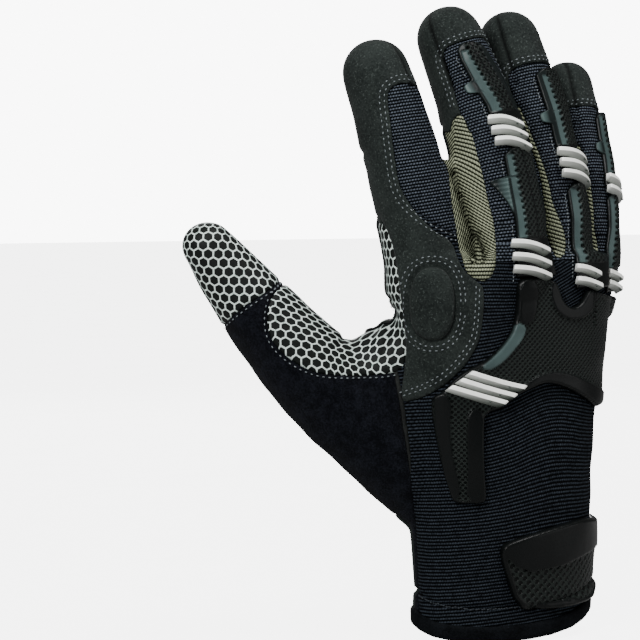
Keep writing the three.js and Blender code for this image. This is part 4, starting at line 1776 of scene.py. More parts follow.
@dataclass
class Overlay:
    """A piece that lies on the skin: a region of it, raised by a relief."""

    skin: Skin
    name: str = ""
    slot: str = "rubber"
    finish: Finish = Finish.RUBBER
    pattern: Field | None = None
    base: float = 0.3
    cuts: int = 1

    def region(self, points: Array) -> Array:
        """Give how far points lie inside the piece's outline."""
        raise NotImplementedError

    def relief(self, points: Array, gap: Array) -> Array:
        """Give the outer face's height at points, from their distances to the border."""
        raise NotImplementedError

    def marks(self, points: Array, gap: Array) -> dict[str, Array]:
        """Give the values that the finish reads, by name: none, unless the piece has some."""
        return {}

    def build(self) -> bpy.types.Object:
        """Cut the piece out of the skin, give it its thickness and hand it over.

        Returns:
            The piece.
        """
        bm = self.skin.bm.copy()
        near = self.region(positions(bm)) > -3.0
        doomed = [v for v, keep in zip(bm.verts, near) if not keep]
        bmesh.ops.delete(bm, geom=doomed, context="VERTS")
        if self.cuts:
            bmesh.ops.subdivide_edges(bm, edges=bm.edges[:], cuts=self.cuts, use_grid_fill=True)
        keep_inside(bm, self.region(positions(bm)))
        for _ in range(3):
            inner = [v for v in bm.verts if not v.is_boundary]
            bmesh.ops.smooth_vert(
                bm, verts=inner, factor=0.5, use_axis_x=True, use_axis_y=True, use_axis_z=True
            )
        gap = border_distance(bm)
        points = positions(bm)
        bm.normal_update()
        way = np.array([v.normal[:] for v in bm.verts])
        way += np.array([self.skin.tree.find_nearest(Vector(p))[1][:] for p in points])
        way /= np.maximum(np.linalg.norm(way, axis=1), 1e-6)[:, None]
        height = self.relief(points, gap)
        named = self.marks(points, gap)
        tops = points + way * (self.base + height)[:, None]
        owner = thicken(bm, points + way * (self.base - 0.1), tops)
        doubled = {k: v[owner] for k, v in named.items()}
        made = make_object(self.name, bm, [self.finish], self.pattern, doubled)
        return hand_over(made, self.slot, self.name.rsplit("_", 1)[0])


@dataclass
class Binding(Overlay):
    """The folded fabric binding round the hem."""

    name: str = "cuff_binding_sewn"
    slot: str = "webbing"
    finish: Finish = Finish.WEBBING
    base: float = 0.15
    cuts: int = 0
    high: float = 6.2

    def region(self, points: Array) -> Array:
        """Give the depth below the binding's upper edge."""
        return self.high - above_hem(points)

    def relief(self, points: Array, gap: Array) -> Array:
        """Give the folded edge's height."""
        return 0.2 + 0.9 * rolled(gap, 1.6)


@dataclass
class PalmPatch(Overlay):
    """The grip-printed patch sewn to the palm, with its two quilted fields."""

    name: str = "palm_patch_sewn"
    slot: str = "print"
    finish: Finish = Finish.PALM_PRINT
    pattern: Field | None = palm_seen
    base: float = 0.35
    thick: float = 1.0

    def quilted(self, points: Array) -> list[Array]:
        """Give how far points lie inside each of the two quilted fields."""
        flat = palm_seen(points)
        return [inside_distance(smooth_line(PALM_OUTLINES[k], 2), flat) for k in ("band", "quad")]

    def region(self, points: Array) -> Array:
        """Keep the patch on the palm's side of the thumb's web.

        Args:
            points: The points, three values each.

        Returns:
            Distances, positive inside.
        """
        side = np.interp(points[:, 2], [104, 118, 135, 166], [0, 7, 9.5, 12]) * step(-points[:, 0], 30, 42)
        side += 7 * step(-points[:, 0], 47, 51) * step(-points[:, 2], -127, -121)
        flat = inside_distance(smooth_line(PALM_OUTLINES["patch"], 2), palm_seen(points))
        return np.minimum(flat, points[:, 1] - 2 - side)

    def relief(self, points: Array, gap: Array) -> Array:
        """Press the border's stitching in and pad the quilted fields.

        Args:
            points: The points, three values each.
            gap: Each point's distance from the piece's border.

        Returns:
            The height of the patch's face above its underside.
        """
        height = self.thick * rolled(gap, 0.9) - 0.35 * bell(gap - 1.7, 0.6)
        for seam in self.quilted(points):
            height -= 0.9 * bell(seam, 1.0)
            height += 0.6 * step(seam, 0.5, 6)
        return height

    def marks(self, points: Array, gap: Array) -> dict[str, Array]:
        """Leave the border and the quilting's seams bare of print."""
        seams = np.min(np.abs(self.quilted(points)), axis=0)
        return {"Bare": np.maximum(1 - step(gap, 1.9, 2.5), 1 - step(seams, 0.5, 1.0))}


@dataclass
class KnucklePad(Overlay):
    """The upright oval pad over the index knuckle."""

    name: str = "knuckle_pad_sewn"
    slot: str = "suede"
    finish: Finish = Finish.SUEDE
    centre: tuple[float, float] = (-29.2, 133.2)
    half_wide: float = 8.2
    half_high: float = 13.8
    crown: float = 1.7
    fill: float = 0.7

    @classmethod
    def outline(cls, grow: float = 0.0) -> Array:
        """Give the pad's outline across and up, grown by a distance.

        Args:
            grow: The distance, in millimetres.

        Returns:
            The outline's points, two values each.
        """
        turn = np.linspace(0, 2 * math.pi, 60, endpoint=False)
        way = np.stack([np.cos(turn), np.sin(turn)], axis=1)
        half = np.array([cls.half_wide, cls.half_high]) + grow
        return np.array(cls.centre) + half * np.sign(way) * np.abs(way) ** (2 / 2.4)

    def region(self, points: Array) -> Array:
        """Give how far points lie inside the oval, on the back alone."""
        return np.minimum(inside_distance(self.outline(), seen(points)), -4 - away(points))

    def relief(self, points: Array, gap: Array) -> Array:
        """Give the crown's height."""
        return 0.1 + self.crown * (1 - np.exp(-gap / 2.4))

    def build(self) -> bpy.types.Object:
        """Raise the pad's crown from its sewn edge.

        Returns:
            The pad.
        """
        made = super().build()
        return made


# The moulded rubber


PLATE = (
    (3.6, 142.4), (10.6, 143), (17.6, 141.6), (19.4, 138.6), (20.6, 134.6), (22.6, 131.6),
    (25.6, 130.4), (28.6, 131.8), (30.4, 134.6), (32, 137.6), (38.4, 135.4), (44, 133.6), (52, 133),
    (52, 93), (39.2, 93.6), (35.6, 90), (33.6, 92), (29.6, 95.2), (21.6, 99.6), (16.4, 101.2),
    (12.8, 101.2), (8, 99), (4.4, 97.6), (-0.8, 93.8), (-3.6, 91.8), (-7.6, 91), (-9.6, 88.2),
    (-9.6, 73.6), (-8.4, 57.6), (-9.4, 55.2), (-20.4, 55.4), (-21.8, 58), (-25.6, 71.2),
    (-28.4, 86), (-29.4, 95), (-28.4, 97.4), (-24.6, 99.2), (-21.6, 103.4), (-17.2, 107),
    (-12, 109.4), (-6.6, 112.6), (-2.6, 116.8), (1.2, 121.6), (2.8, 127), (3.4, 134),
)
# The plate's facet, whose colour is a painted reflection of the soft lights.
PLATE_FACET = ((2.6, 125.6), (6.6, 124), (5.4, 119.4), (2.4, 115.4), (-2, 110.6), (-7.4, 107), (-11.4, 108.4),
               (-6.4, 112), (-2.2, 116.4), (1.2, 121))
PLATE_SMOOTH = (
    ((4.2, 142), (10.8, 142), (10.6, 128), (6.4, 124), (3.2, 126)),
    ((-29.4, 97), (-24, 99), (-21.4, 94), (-22.4, 86), (-20, 70), (-17.6, 59), (-21.6, 56)),
    ((-14, 93), (-9.6, 91), (-8.8, 73.6), (-7.6, 55), (-16.4, 55.6), (-15.8, 72), (-16.4, 88)),
    ((6, 101.4), (12.8, 105.4), (18.6, 106), (24.8, 104.6), (31, 101), (37.6, 96.4), (41, 93),
     (36, 89), (29.6, 95), (21.6, 99.4), (16.4, 101), (12.8, 101), (4.6, 97.4), (-1, 93.6), (-2.4, 95)),
)


@dataclass
class KnucklePlate(Overlay):
    """The moulded plate over the knuckles, with its rims, facets and leg."""

    name: str = "guard_plate_moulded"
    pattern: Field | None = seen_pattern
    thick: float = 2.2
    rim: float = 2.9
    cup: tuple[float, float, float] = (25.6, 136.5, 6.2)
    groove_x: float = 34.2

    def region(self, points: Array) -> Array:
        """Give how far points lie inside the plate's outline, on the back alone."""
        return np.minimum(inside_distance(smooth_line(PLATE, 1), seen(points)), 1.0 - points[:, 1])

    def shares(self, points: Array) -> tuple[Array, Array]:
        """Tell which points take the facet's painted reflection, and which lie on the raised smooth areas.

        Args:
            points: The points, three values each.

        Returns:
            Two shares between 0 and 1 for each point.
        """
        flat = seen(points)
        light = step(inside_distance(smooth_line(PLATE_FACET, 1), flat), -0.25, 0.25)
        plain = np.max([inside_distance(smooth_line(p, 1), flat) for p in PLATE_SMOOTH], axis=0)
        ring = np.hypot(flat[:, 0] - self.cup[0], (flat[:, 1] - self.cup[1]) * 0.9) - self.cup[2]
        ring = np.where(flat[:, 1] < 142, self.rim - np.abs(ring - 0.5), -9)
        return light, step(np.maximum(plain, ring), -0.3, 0.3)

    def relief(self, points: Array, gap: Array) -> Array:
        """Raise the smooth areas and cut the groove between the two lobes.

        Args:
            points: The points, three values each.
            gap: Each point's distance from the piece's border.

        Returns:
            The height of the plate's face above its underside.
        """
        flat = seen(points)
        smooth = np.maximum(*self.shares(points))
        height = self.thick * rolled(gap, 1.1)
        height += 0.55 * smooth
        height -= 0.25 * step(gap, 1.0, 2.6) * (1 - smooth)
        groove = bell(flat[:, 0] - self.groove_x, 0.5) * step(flat[:, 1], 122.5, 124)
        return height - 0.8 * groove

    def marks(self, points: Array, gap: Array) -> dict[str, Array]:
        """Dimple what isn't smooth and mark the facet that takes the painted reflection."""
        light, plain = self.shares(points)
        return {"Dimples": (1 - np.maximum(plain, light)) * step(gap, 0.9, 1.3), "Facet": light}


@dataclass
class GuardSize:
    """A finger guard's run: place along the finger, and the angles of its two edges."""

    name: str
    finger: int
    rows: tuple[tuple[float, float, float], ...]
    ridge: float
    foot: float
    slant: float = 0.0
    tab: float = -99.0
    wing: float = -99.0
    frame: float = 1.1


GUARDS = (
    GuardSize(
        "middle_upper", 1, ((108.5, -31, 15), (102, -32, 21), (92, -27, 32), (82, -19, 43), (66, -17, 46)),
        0.36, 79.0, -1.4, 90.5, frame=1.7,
    ),
    GuardSize(
        "middle_lower", 1, ((64.5, -15, 38), (48, -17, 42), (31.5, -17, 45), (17, -19, 49)),
        0.55, 31.0, wing=53.0,
    ),
    GuardSize(
        "ring_upper", 2, ((97.5, -9, 62), (90, -8, 68), (66.5, -5, 76), (53, -1, 77)),
        0.45, 66.0, -1.0, 77.5, frame=2.6,
    ),
    GuardSize("ring_lower", 2, ((51.5, 1, 76), (36.7, 0, 74), (22.5, -5, 60), (12, -8, 56)), 0.5, 22.0),
    GuardSize("little_upper", 3, ((82, 15, 92), (68, 17, 94), (50, 14, 94)), 0.5, 55.5, 0.0, 66.0),
    GuardSize("little_lower", 3, ((48.5, 14, 94), (34, 12, 96), (19.5, -8, 88), (9.5, -14, 82)), 0.5, 19.5),
)


@dataclass
class FingerGuards:
    """The moulded guards on the backs of three fingers."""

    skin: Skin
    base: float = 0.3
    bite_pitch: float = 2.3
    cell: float = 0.42
    sunk: float = 0.2
    end_round: float = 3.6
    tab_degrees: float = 15.0
    tab_half: float = 2.3
    wing_degrees: float = 28.0
    wing_span: tuple[float, float] = (15.0, 0.9)
    ridge_high: float = 2.4
    edge_high: float = 1.2
    facet_deep: float = 0.45
    groove: tuple[float, float] = (0.7, 0.45)
    bite: tuple[float, float] = (1.2, 0.66)
    rib: tuple[float, float, float] = (1.15, 0.2, 1.7)
    foot_high: float = 1.7

    def surface(self, finger: int, s: Array, turn: Array) -> Array:
        """Give the skin's distance from a finger's centre line at places round it.

        Args:
            finger: The finger's number.
            s: Lengths along the finger, in millimetres.
            turn: Angles round it from its back, towards the little finger.

        Returns:
            The distances.
        """
        centre, out = self.skin.form.lines[finger].outward(s, turn)
        reach = np.full(len(s), FINGERS[finger].radii[2])
        for i, (start, way) in enumerate(zip(centre, out)):
            place, _, _, gap = self.skin.tree.ray_cast(Vector(start), Vector(way))
            if place is not None:
                reach[i] = min(gap, FINGERS[finger].radii[0] + 7)
        return reach

    def build(self) -> list[bpy.types.Object]:
        """Mould every guard."""
        return [self._guard(size) for size in GUARDS]

    def _edges(self, size: GuardSize, s: Array) -> tuple[Array, Array]:
        """Give the angles of a guard's two edges at places along the finger.

        Args:
            size: The guard's sizes.
            s: Lengths along the finger, in millimetres.

        Returns:
            The angles of the left edge and of the right edge.
        """
        rows = np.array(size.rows)[::-1]
        left = np.interp(s, rows[:, 0], np.radians(rows[:, 1]))
        right = np.interp(s, rows[:, 0], np.radians(rows[:, 2]))
        return left, right

    def _guard(self, size: GuardSize) -> bpy.types.Object:
        """Mould one guard on its finger.

        Args:
            size: The guard's sizes.

        Returns:
            The guard.
        """
        rows = np.array(size.rows)
        top, low = rows[0, 0], rows[-1, 0]
        radius = FINGERS[size.finger].radii[2] + 2
        wide = radius * np.radians(rows[:, 2] - rows[:, 1]).max()
        across_count = max(int(wide / self.cell), 12)
        along_count = max(int((top - low) / self.cell), 12)
        bm = bmesh.new()
        bmesh.ops.create_grid(bm, x_segments=across_count, y_segments=along_count, size=1.0)
        plan = positions(bm)
        p = plan[:, 0]
        peak = top - low - self.end_round * np.abs(p) ** 3
        s = low + (plan[:, 1] + 1) / 2 * peak + size.slant * p
        left, right = self._edges(size, s)
        extra = np.radians(self.tab_degrees) * np.exp(-(((s - size.tab) / self.tab_half) ** 6))
        if size.wing > 0:
            places = [size.wing - self.wing_span[0], size.wing, size.wing + self.wing_span[1]]
            extra = np.radians(self.wing_degrees) * np.interp(s, places, [0, 1, 0]) ** 1.5
        turn = (left - extra + right) / 2 + p * (right - left + extra) / 2
        reach = self.surface(size.finger, s, turn)
        reach = self._even(reach.reshape(along_count + 1, across_count + 1)).ravel()
        half = (right - left) / 2 * radius
        whole = half + extra / 2 * radius
        gap = np.minimum(whole * (1 - np.abs(p)), (1 - np.abs(plan[:, 1])) * peak / 2)
        p = (turn - (left + right) / 2) / (right - left) * 2
        height, dimples, facet = self._relief(size, p, s, half, gap, top)
        line = self.skin.form.lines[size.finger]
        bottoms = line.spot(s, turn, reach + self.base - self.sunk)
        tops = line.spot(s, turn, reach + self.base + height)
        owner = thicken(bm, bottoms, tops)
        marks = {"Dimples": dimples[owner], "Facet": facet[owner]}
        flat = np.stack([p * half, s], axis=1)[owner]
        made = make_object(f"guard_{size.name}_moulded", bm, [Finish.RUBBER], lambda _: flat, marks)
        return hand_over(made, "rubber", f"guard_{size.name}")

    @staticmethod
    def _even(reach: Array) -> Array:
        """Smooth the skin's distance so that a guard spans small folds.

        Args:
            reach: The distance at each place of the grid along and round the finger.

        Returns:
            The smoothed distances.
        """
        smooth = reach
        for _ in range(12):
            wide = np.pad(smooth, 1, mode="edge")
            smooth = (wide[:-2, 1:-1] + wide[2:, 1:-1] + wide[1:-1, :-2] + wide[1:-1, 2:] + 4 * smooth) / 8
        return np.maximum(smooth, reach * 0.5 + smooth * 0.5)

    def _relief(
        self, size: GuardSize, p: Array, s: Array, half: Array, gap: Array, top: float
    ) -> tuple[Array, Array, Array]:
        """Give a guard's height, its dimpled areas and its smooth facets.

        Args:
            size: The guard's sizes.
            p: Places across the guard, -1 at the left edge and 1 at the right edge.
            s: Lengths along the finger, in millimetres.
            half: Half its width at each place, in millimetres.
            gap: Each place's distance from the guard's border.
            top: The length along the finger at which the guard ends.

        Returns:
            The heights, the share of dimples and the share of painted reflection on the facets and the outer
            edges.
        """
        side = np.abs(p)
        ridge = size.ridge
        slope = np.clip((1 - side) / (1 - ridge), 0, 1)
        shown = step(s, size.foot - 0.3, size.foot + 0.3)
        outer = step(side, 1.0, 1.04) * (p < 0)
        inner = step((1 - side) * half, size.frame - 0.2, size.frame + 0.2)
        inner *= step(top - s - 1.6 * (1 + p), 2.2, 2.7)
        facet = step(side, ridge - 0.02, ridge + 0.02)
        high = self.edge_high + (self.ridge_high - self.edge_high) * slope
        height = np.where(side > ridge, high, self.ridge_high) - self.facet_deep * facet * inner
        groove = bell(p * half, self.groove[1])
        bite = np.abs((s / self.bite_pitch + 0.5) % 1 - 0.5) * self.bite_pitch
        spot = np.hypot(bite, (side - ridge) * half)
        height = height - self.groove[0] * groove - self.bite[0] * np.exp(-((spot / self.bite[1]) ** 4))
        middle, swing, pitch = self.rib
        ribs = middle + swing * np.cos(s * 2 * math.pi / pitch) * (size.wing > 0)
        height = height + (ribs - height) * outer
        height = height * shown + self.foot_high * (1 - shown)
        height = height * rolled(gap, 0.9)
        dimples = (1 - facet) * step(gap, 0.8, 1.2) * (1 - step(groove, 0.2, 0.5)) * shown
        # The left half's facet, which faces the key light, takes a painted reflection and the right half's
        # only a trace; the outer rims and the wing take a painted gradient of light, above 1 where a painted
        # highlight goes.
        light = np.where(p < 0, 0.1 + 0.9 * inner, 0.08)
        beyond = np.clip((side - 1) * half / (5.0 if size.wing > 0 else 2.6), 0, 1)
        soft = 1.35 - 1.2 * beyond if size.wing > 0 else 0.15 + 1.1 * beyond
        light = np.maximum(light * (1 - outer), outer * soft)
        return height, dimples, facet * light * step(gap, 0.2, 0.6) * shown


@dataclass
class BarSet:
    """A row of raised bars across a guard: ends as a place along and an angle each."""

    name: str
    finger: int
    count: int
    left: tuple[float, float]
    bend: tuple[float, float]
    right: tuple[float, float]
    pitch: float = 4.35
    creep: float = 0.0


BARS = (
    BarSet("middle_upper", 1, 3, (76.2, -24), (75.4, -2), (71.2, 22), 4.35, 0.5),
    BarSet("middle_lower", 1, 3, (29.2, -26), (28.6, -2), (25.6, 26), 4.5, 1.0),
    BarSet("ring_upper", 2, 3, (63.4, -8), (62.2, 22), (58.8, 61), 4.3, 0.5),
    BarSet("ring_lower", 2, 2, (20.0, -9), (19.4, 6), (16.8, 25), 4.6, 0.0),
    BarSet("little_upper", 3, 2, (53.5, 12), (52.5, 40), (50.0, 84), 4.3, 0.0),
    BarSet("little_lower", 3, 2, (17.6, -4), (16.8, 14), (14.4, 40), 4.3, 0.0),
)
# A bar's section, across in half widths and up in heights; its upper edge leans over.
BLADE = (
    (1.0, 0.0), (1.0, 0.72), (0.92, 0.96), (0.78, 1.02),
    (0.06, 1.06), (-0.02, 1.02), (-0.97, 0.14), (-1.0, 0.0),
)
PLATE_BARS = (
    ((-15.8, 106.3), (-10.0, 104.1), (4.3, 99.3)),
    ((-19.3, 103.6), (-13.5, 101.3), (0.7, 96.3)),
    ((-22.9, 100.7), (-17.0, 98.5), (-2.8, 93.7)),
)


@dataclass
class RaisedBars:
    """The white bars that stand on the guards like the blades of a louvre."""

    skin: Skin
    guards: FingerGuards
    base: float = 1.9
    high: float = 2.1
    high_gain: float = 0.9
    wide: float = 3.45
    wide_gain: float = 0.2
    crease_degrees: float = 24.0
    nub_place: float = 0.72
    nub_radius: float = 0.45
    nub_rise: float = 0.55
    finger_shear: float = 0.25
    plate_shear: float = 0.7
    plate_rise: float = 0.4

    def build(self) -> list[bpy.types.Object]:
        """Mould every bar.

        Returns:
            The bars.
        """
        made = []
        for bars in BARS:
            for i in range(bars.count):
                made.append(self._finger_bar(bars, i))
        for i, line in enumerate(PLATE_BARS):
            made.append(self._plate_bar(i, line))
        return made

    def _finger_bar(self, bars: BarSet, number: int) -> bpy.types.Object:
        """Mould one bar that bends round a finger guard.

        Args:
            bars: The sizes of that guard's bars.
            number: The bar's number.

        Returns:
            The bar.
        """
        table = np.array([bars.left, bars.bend, bars.right], dtype=float)
        table[:, 0] -= bars.pitch * number
        table[:, 1] += bars.creep * number
        path = smooth_line(table, 3, closed=False)
        path = resample(path * [1, 0.28], 0.55, closed=False) / [1, 0.28]
        s, turn = path[:, 0], np.radians(path[:, 1])
        line = self.skin.form.lines[bars.finger]
        reach = self.guards.surface(bars.finger, s, turn)
        for _ in range(8):
            wide = np.pad(reach, 1, mode="edge")
            reach = (wide[:-2] + 2 * reach + wide[2:]) / 4
        _, out = line.outward(s, turn)
        places = line.spot(s, turn, reach + self.base)
        up = line.frame(s)[3]
        return self._sweep(f"bar_{bars.name}_{number + 1}", places, out, up, self.finger_shear)

    def _plate_bar(self, number: int, corners: Sequence[Sequence[float]]) -> bpy.types.Object:
        """Mould one straight bar on the knuckle plate.

        Args:
            number: The bar's number.
            corners: Points along the bar, across and up.

        Returns:
            The bar.
        """
        path = resample(smooth_line(corners, 2, closed=False), 0.6, closed=False)
        points, normals = self.skin.hit(path)
        for _ in range(10):
            normals[1:-1] = (normals[:-2] + 2 * normals[1:-1] + normals[2:]) / 4
            points[1:-1] = (points[:-2] + 2 * points[1:-1] + points[2:]) / 4
        normals /= np.linalg.norm(normals, axis=1)[:, None]
        along = np.gradient(points, axis=0)
        along /= np.linalg.norm(along, axis=1)[:, None]
        up = np.cross(normals, along)
        up *= np.sign(up[:, 2])[:, None]
        places = points + normals * (self.base + self.plate_rise)
        return self._sweep(f"bar_plate_{number + 1}", places, normals, up, self.plate_shear)

    def _sweep(self, name: str, places: Array, out: Array, up: Array, shear: float) -> bpy.types.Object:
        """Sweep a rounded blade along a path.

        Args:
            name: The bar's name.
            places: The middle of its foot, point by point.
            out: The way that it stands up.
            up: The way across it, towards the fingertips.
            shear: How far its upper edge runs ahead of the lower one, for each millimetre of width.

        Returns:
            The object.
        """
        count = len(places)
        share = np.linspace(0, 1, count)
        end = np.minimum(share, 1 - share) * count * 0.55
        tip = np.sqrt(1 - (1 - np.clip(end / 0.5, 0, 1)) ** 2) * 0.1 + 0.9
        half = (self.wide + self.wide_gain * share) / 2 * tip
        ahead = np.gradient(places, axis=0)
        ahead /= np.linalg.norm(ahead, axis=1)[:, None]
        bm = bmesh.new()
        rings, below = [], []
        for i in range(count):
            made = bmesh.ops.create_circle(bm, segments=len(BLADE), radius=1.0)
            for vert, (a, b) in zip(made["verts"], BLADE):
                height = (self.high + self.high_gain * share[i]) * tip[i] * b
                vert.co = Vector(places[i] + (up[i] + ahead[i] * shear) * half[i] * a + out[i] * height)
                # The blade's lower faces are marked for painted shade, darker towards its right end.
                foot = (0.8, 0.2) if a < -0.5 else (0.45, 0.5)
                below.append(0.0 if a > 0 else foot[0] + foot[1] * share[i])
            rings.append(made["verts"])
        bridge_rings(bm, rings)
        at = int(count * self.nub_place)
        nub = bmesh.ops.create_uvsphere(bm, u_segments=10, v_segments=6, radius=self.nub_radius)
        top = places[at] + out[at] * (self.high + self.nub_rise) - up[at] * half[at] * 0.3
        bmesh.ops.translate(bm, vec=Vector(top), verts=nub["verts"])
        # The nub is marked wholly for painted shade.
        below += [1.0] * len(nub["verts"])
        bmesh.ops.recalc_face_normals(bm, faces=bm.faces[:])
        for edge in bm.edges:
            if len(edge.link_faces) == 2 and edge.calc_face_angle() > math.radians(self.crease_degrees):
                edge.smooth = False
        made = make_object(f"{name}_moulded", bm, [Finish.WHITE_RUBBER], marks={"Under": np.array(below)})
        return hand_over(made, "white", name)


# The wrist strap


TAB = (
    (-2.8, 37.2), (-0.8, 39.6), (14, 43.4), (28.8, 46.4), (33, 46), (37.6, 43.2), (38.4, 38), (37.4, 30),
    (34.4, 14.6), (33, 12.4), (24, 11.6), (14.8, 11.2), (7.2, 12.4), (3.4, 15.4), (1.6, 18.8), (-2.4, 32),
)


@dataclass
class Strap(Overlay):
    """The moulded closing strap across the palm side of the wrist."""

    name: str = "strap_moulded"
    pattern: Field | None = palm_seen
    thick: float = 2.1

    def region(self, points: Array) -> Array:
        """Give how far points lie inside the strap, which ends at the thumb side.

        Args:
            points: The points, three values each.

        Returns:
            Distances, positive inside.
        """
        low = 0.5 + 15 * step(-points[:, 0], 20, 30)
        flat = inside_distance(smooth_line(PALM_OUTLINES["strap"], 2), palm_seen(points))
        return np.minimum(flat, points[:, 1] - low)

    def relief(self, points: Array, gap: Array) -> Array:
        """Raise the strap's frame and its plain upper half."""
        raised = np.maximum(1 - step(gap, 1.6, 2.2), step(points[:, 2], 24, 26))
        return (self.thick + 0.5 * raised) * rolled(gap, 1.1)

    def marks(self, points: Array, gap: Array) -> dict[str, Array]:
        """Dimple the lower half inside its frame."""
        dimples = step(gap, 2.0, 2.4) * (1 - step(points[:, 2], 24, 26))
        return {"Dimples": dimples, "Facet": np.zeros(len(gap))}


@dataclass
class StrapTab(Overlay):
    """The strap's end tab on the back of the wrist."""

    name: str = "strap_tab_moulded"
    pattern: Field | None = tab_pattern
    thick: float = 2.1

    def region(self, points: Array) -> Array:
        """Give how far points lie inside the tab, on the back alone."""
        return np.minimum(inside_distance(smooth_line(TAB, 2), seen(points)), -points[:, 1])

    def upper(self, points: Array) -> Array:
        """Tell which points lie on the tab's plain upper part.

        Args:
            points: The points, three values each.

        Returns:
            A share between 0 and 1 for each point.
        """
        flat = seen(points)
        edge = np.interp(flat[:, 0], [-3, 2, 8, 20, 32, 40], [37, 30.5, 27.5, 28.6, 32.5, 36])
        return step(flat[:, 1] - edge, -0.4, 0.4)

    def relief(self, points: Array, gap: Array) -> Array:
        """Raise the tab's frame and its upper part."""
        raised = np.maximum((1 - step(gap, 1.5, 2.1)) * 0.6, self.upper(points) * 0.9)
        return (self.thick + raised) * rolled(gap, 1.2)

    def marks(self, points: Array, gap: Array) -> dict[str, Array]:
        """Dimple the lower part inside its frame."""
        return {"Dimples": step(gap, 1.9, 2.3) * (1 - self.upper(points)), "Facet": np.zeros(len(gap))}


@dataclass
class StrapInset(Overlay):
    """The pale inset in the strap's end."""

    name: str = "strap_inset_sewn"
    slot: str = "inset"
    finish: Finish = Finish.INSET
    base: float = 2.8

    def region(self, points: Array) -> Array:
        """Give how far points lie inside the inset, on the palm alone."""
        flat = inside_distance(smooth_line(PALM_OUTLINES["inset"], 1), palm_seen(points))
        return np.minimum(flat, points[:, 1] - 16)

    def relief(self, points: Array, gap: Array) -> Array:
        """Give the inset's height."""
        return 0.7 * rolled(gap, 0.5)


@dataclass
class PullLoop(Overlay):
    """The webbing loop sewn on above the strap."""

    name: str = "pull_loop_sewn"
    slot: str = "webbing"
    finish: Finish = Finish.WEBBING

    def region(self, points: Array) -> Array:
        """Give how far points lie inside the loop, on the palm alone."""
        flat = inside_distance(smooth_line(PALM_OUTLINES["loop"], 1), palm_seen(points))
        return np.minimum(flat, points[:, 1])

    def relief(self, points: Array, gap: Array) -> Array:
        """Give the height of the loop's two thick sides."""
        return 0.3 + 2.2 * bell(gap - 1.2, 1.1) * step(points[:, 2], 30, 40)


@dataclass
class WristStrap:
    """The moulded closing strap with its end tab, its pale inset and the pull loop."""

    skin: Skin

    def build(self) -> list[bpy.types.Object]:
        """Make the strap's pieces, in order."""
        return [piece(self.skin).build() for piece in (Strap, StrapTab, StrapInset, PullLoop)]


# Stitching


SIDE_SEAM = (
    (-11.0, 139.4), (-11.2, 131.2), (-12, 120.8), (-14.4, 115.6), (-19.6, 108.8), (-24, 104.8),
    (-29.6, 101.2), (-35.2, 98.8), (-41.2, 97.0),
)
KNIT_SEWN = (0, 24, 16, 14)
PALM_WAY = np.array([0.0, -1.0, 0.0])
THREADS = {"palm": Finish.PALE_THREAD, "hem": Finish.DARK_THREAD}


@dataclass
class StitchRow:
    """One row of stitches: a path on the surface with its outward directions."""

    places: Array
    normals: Array


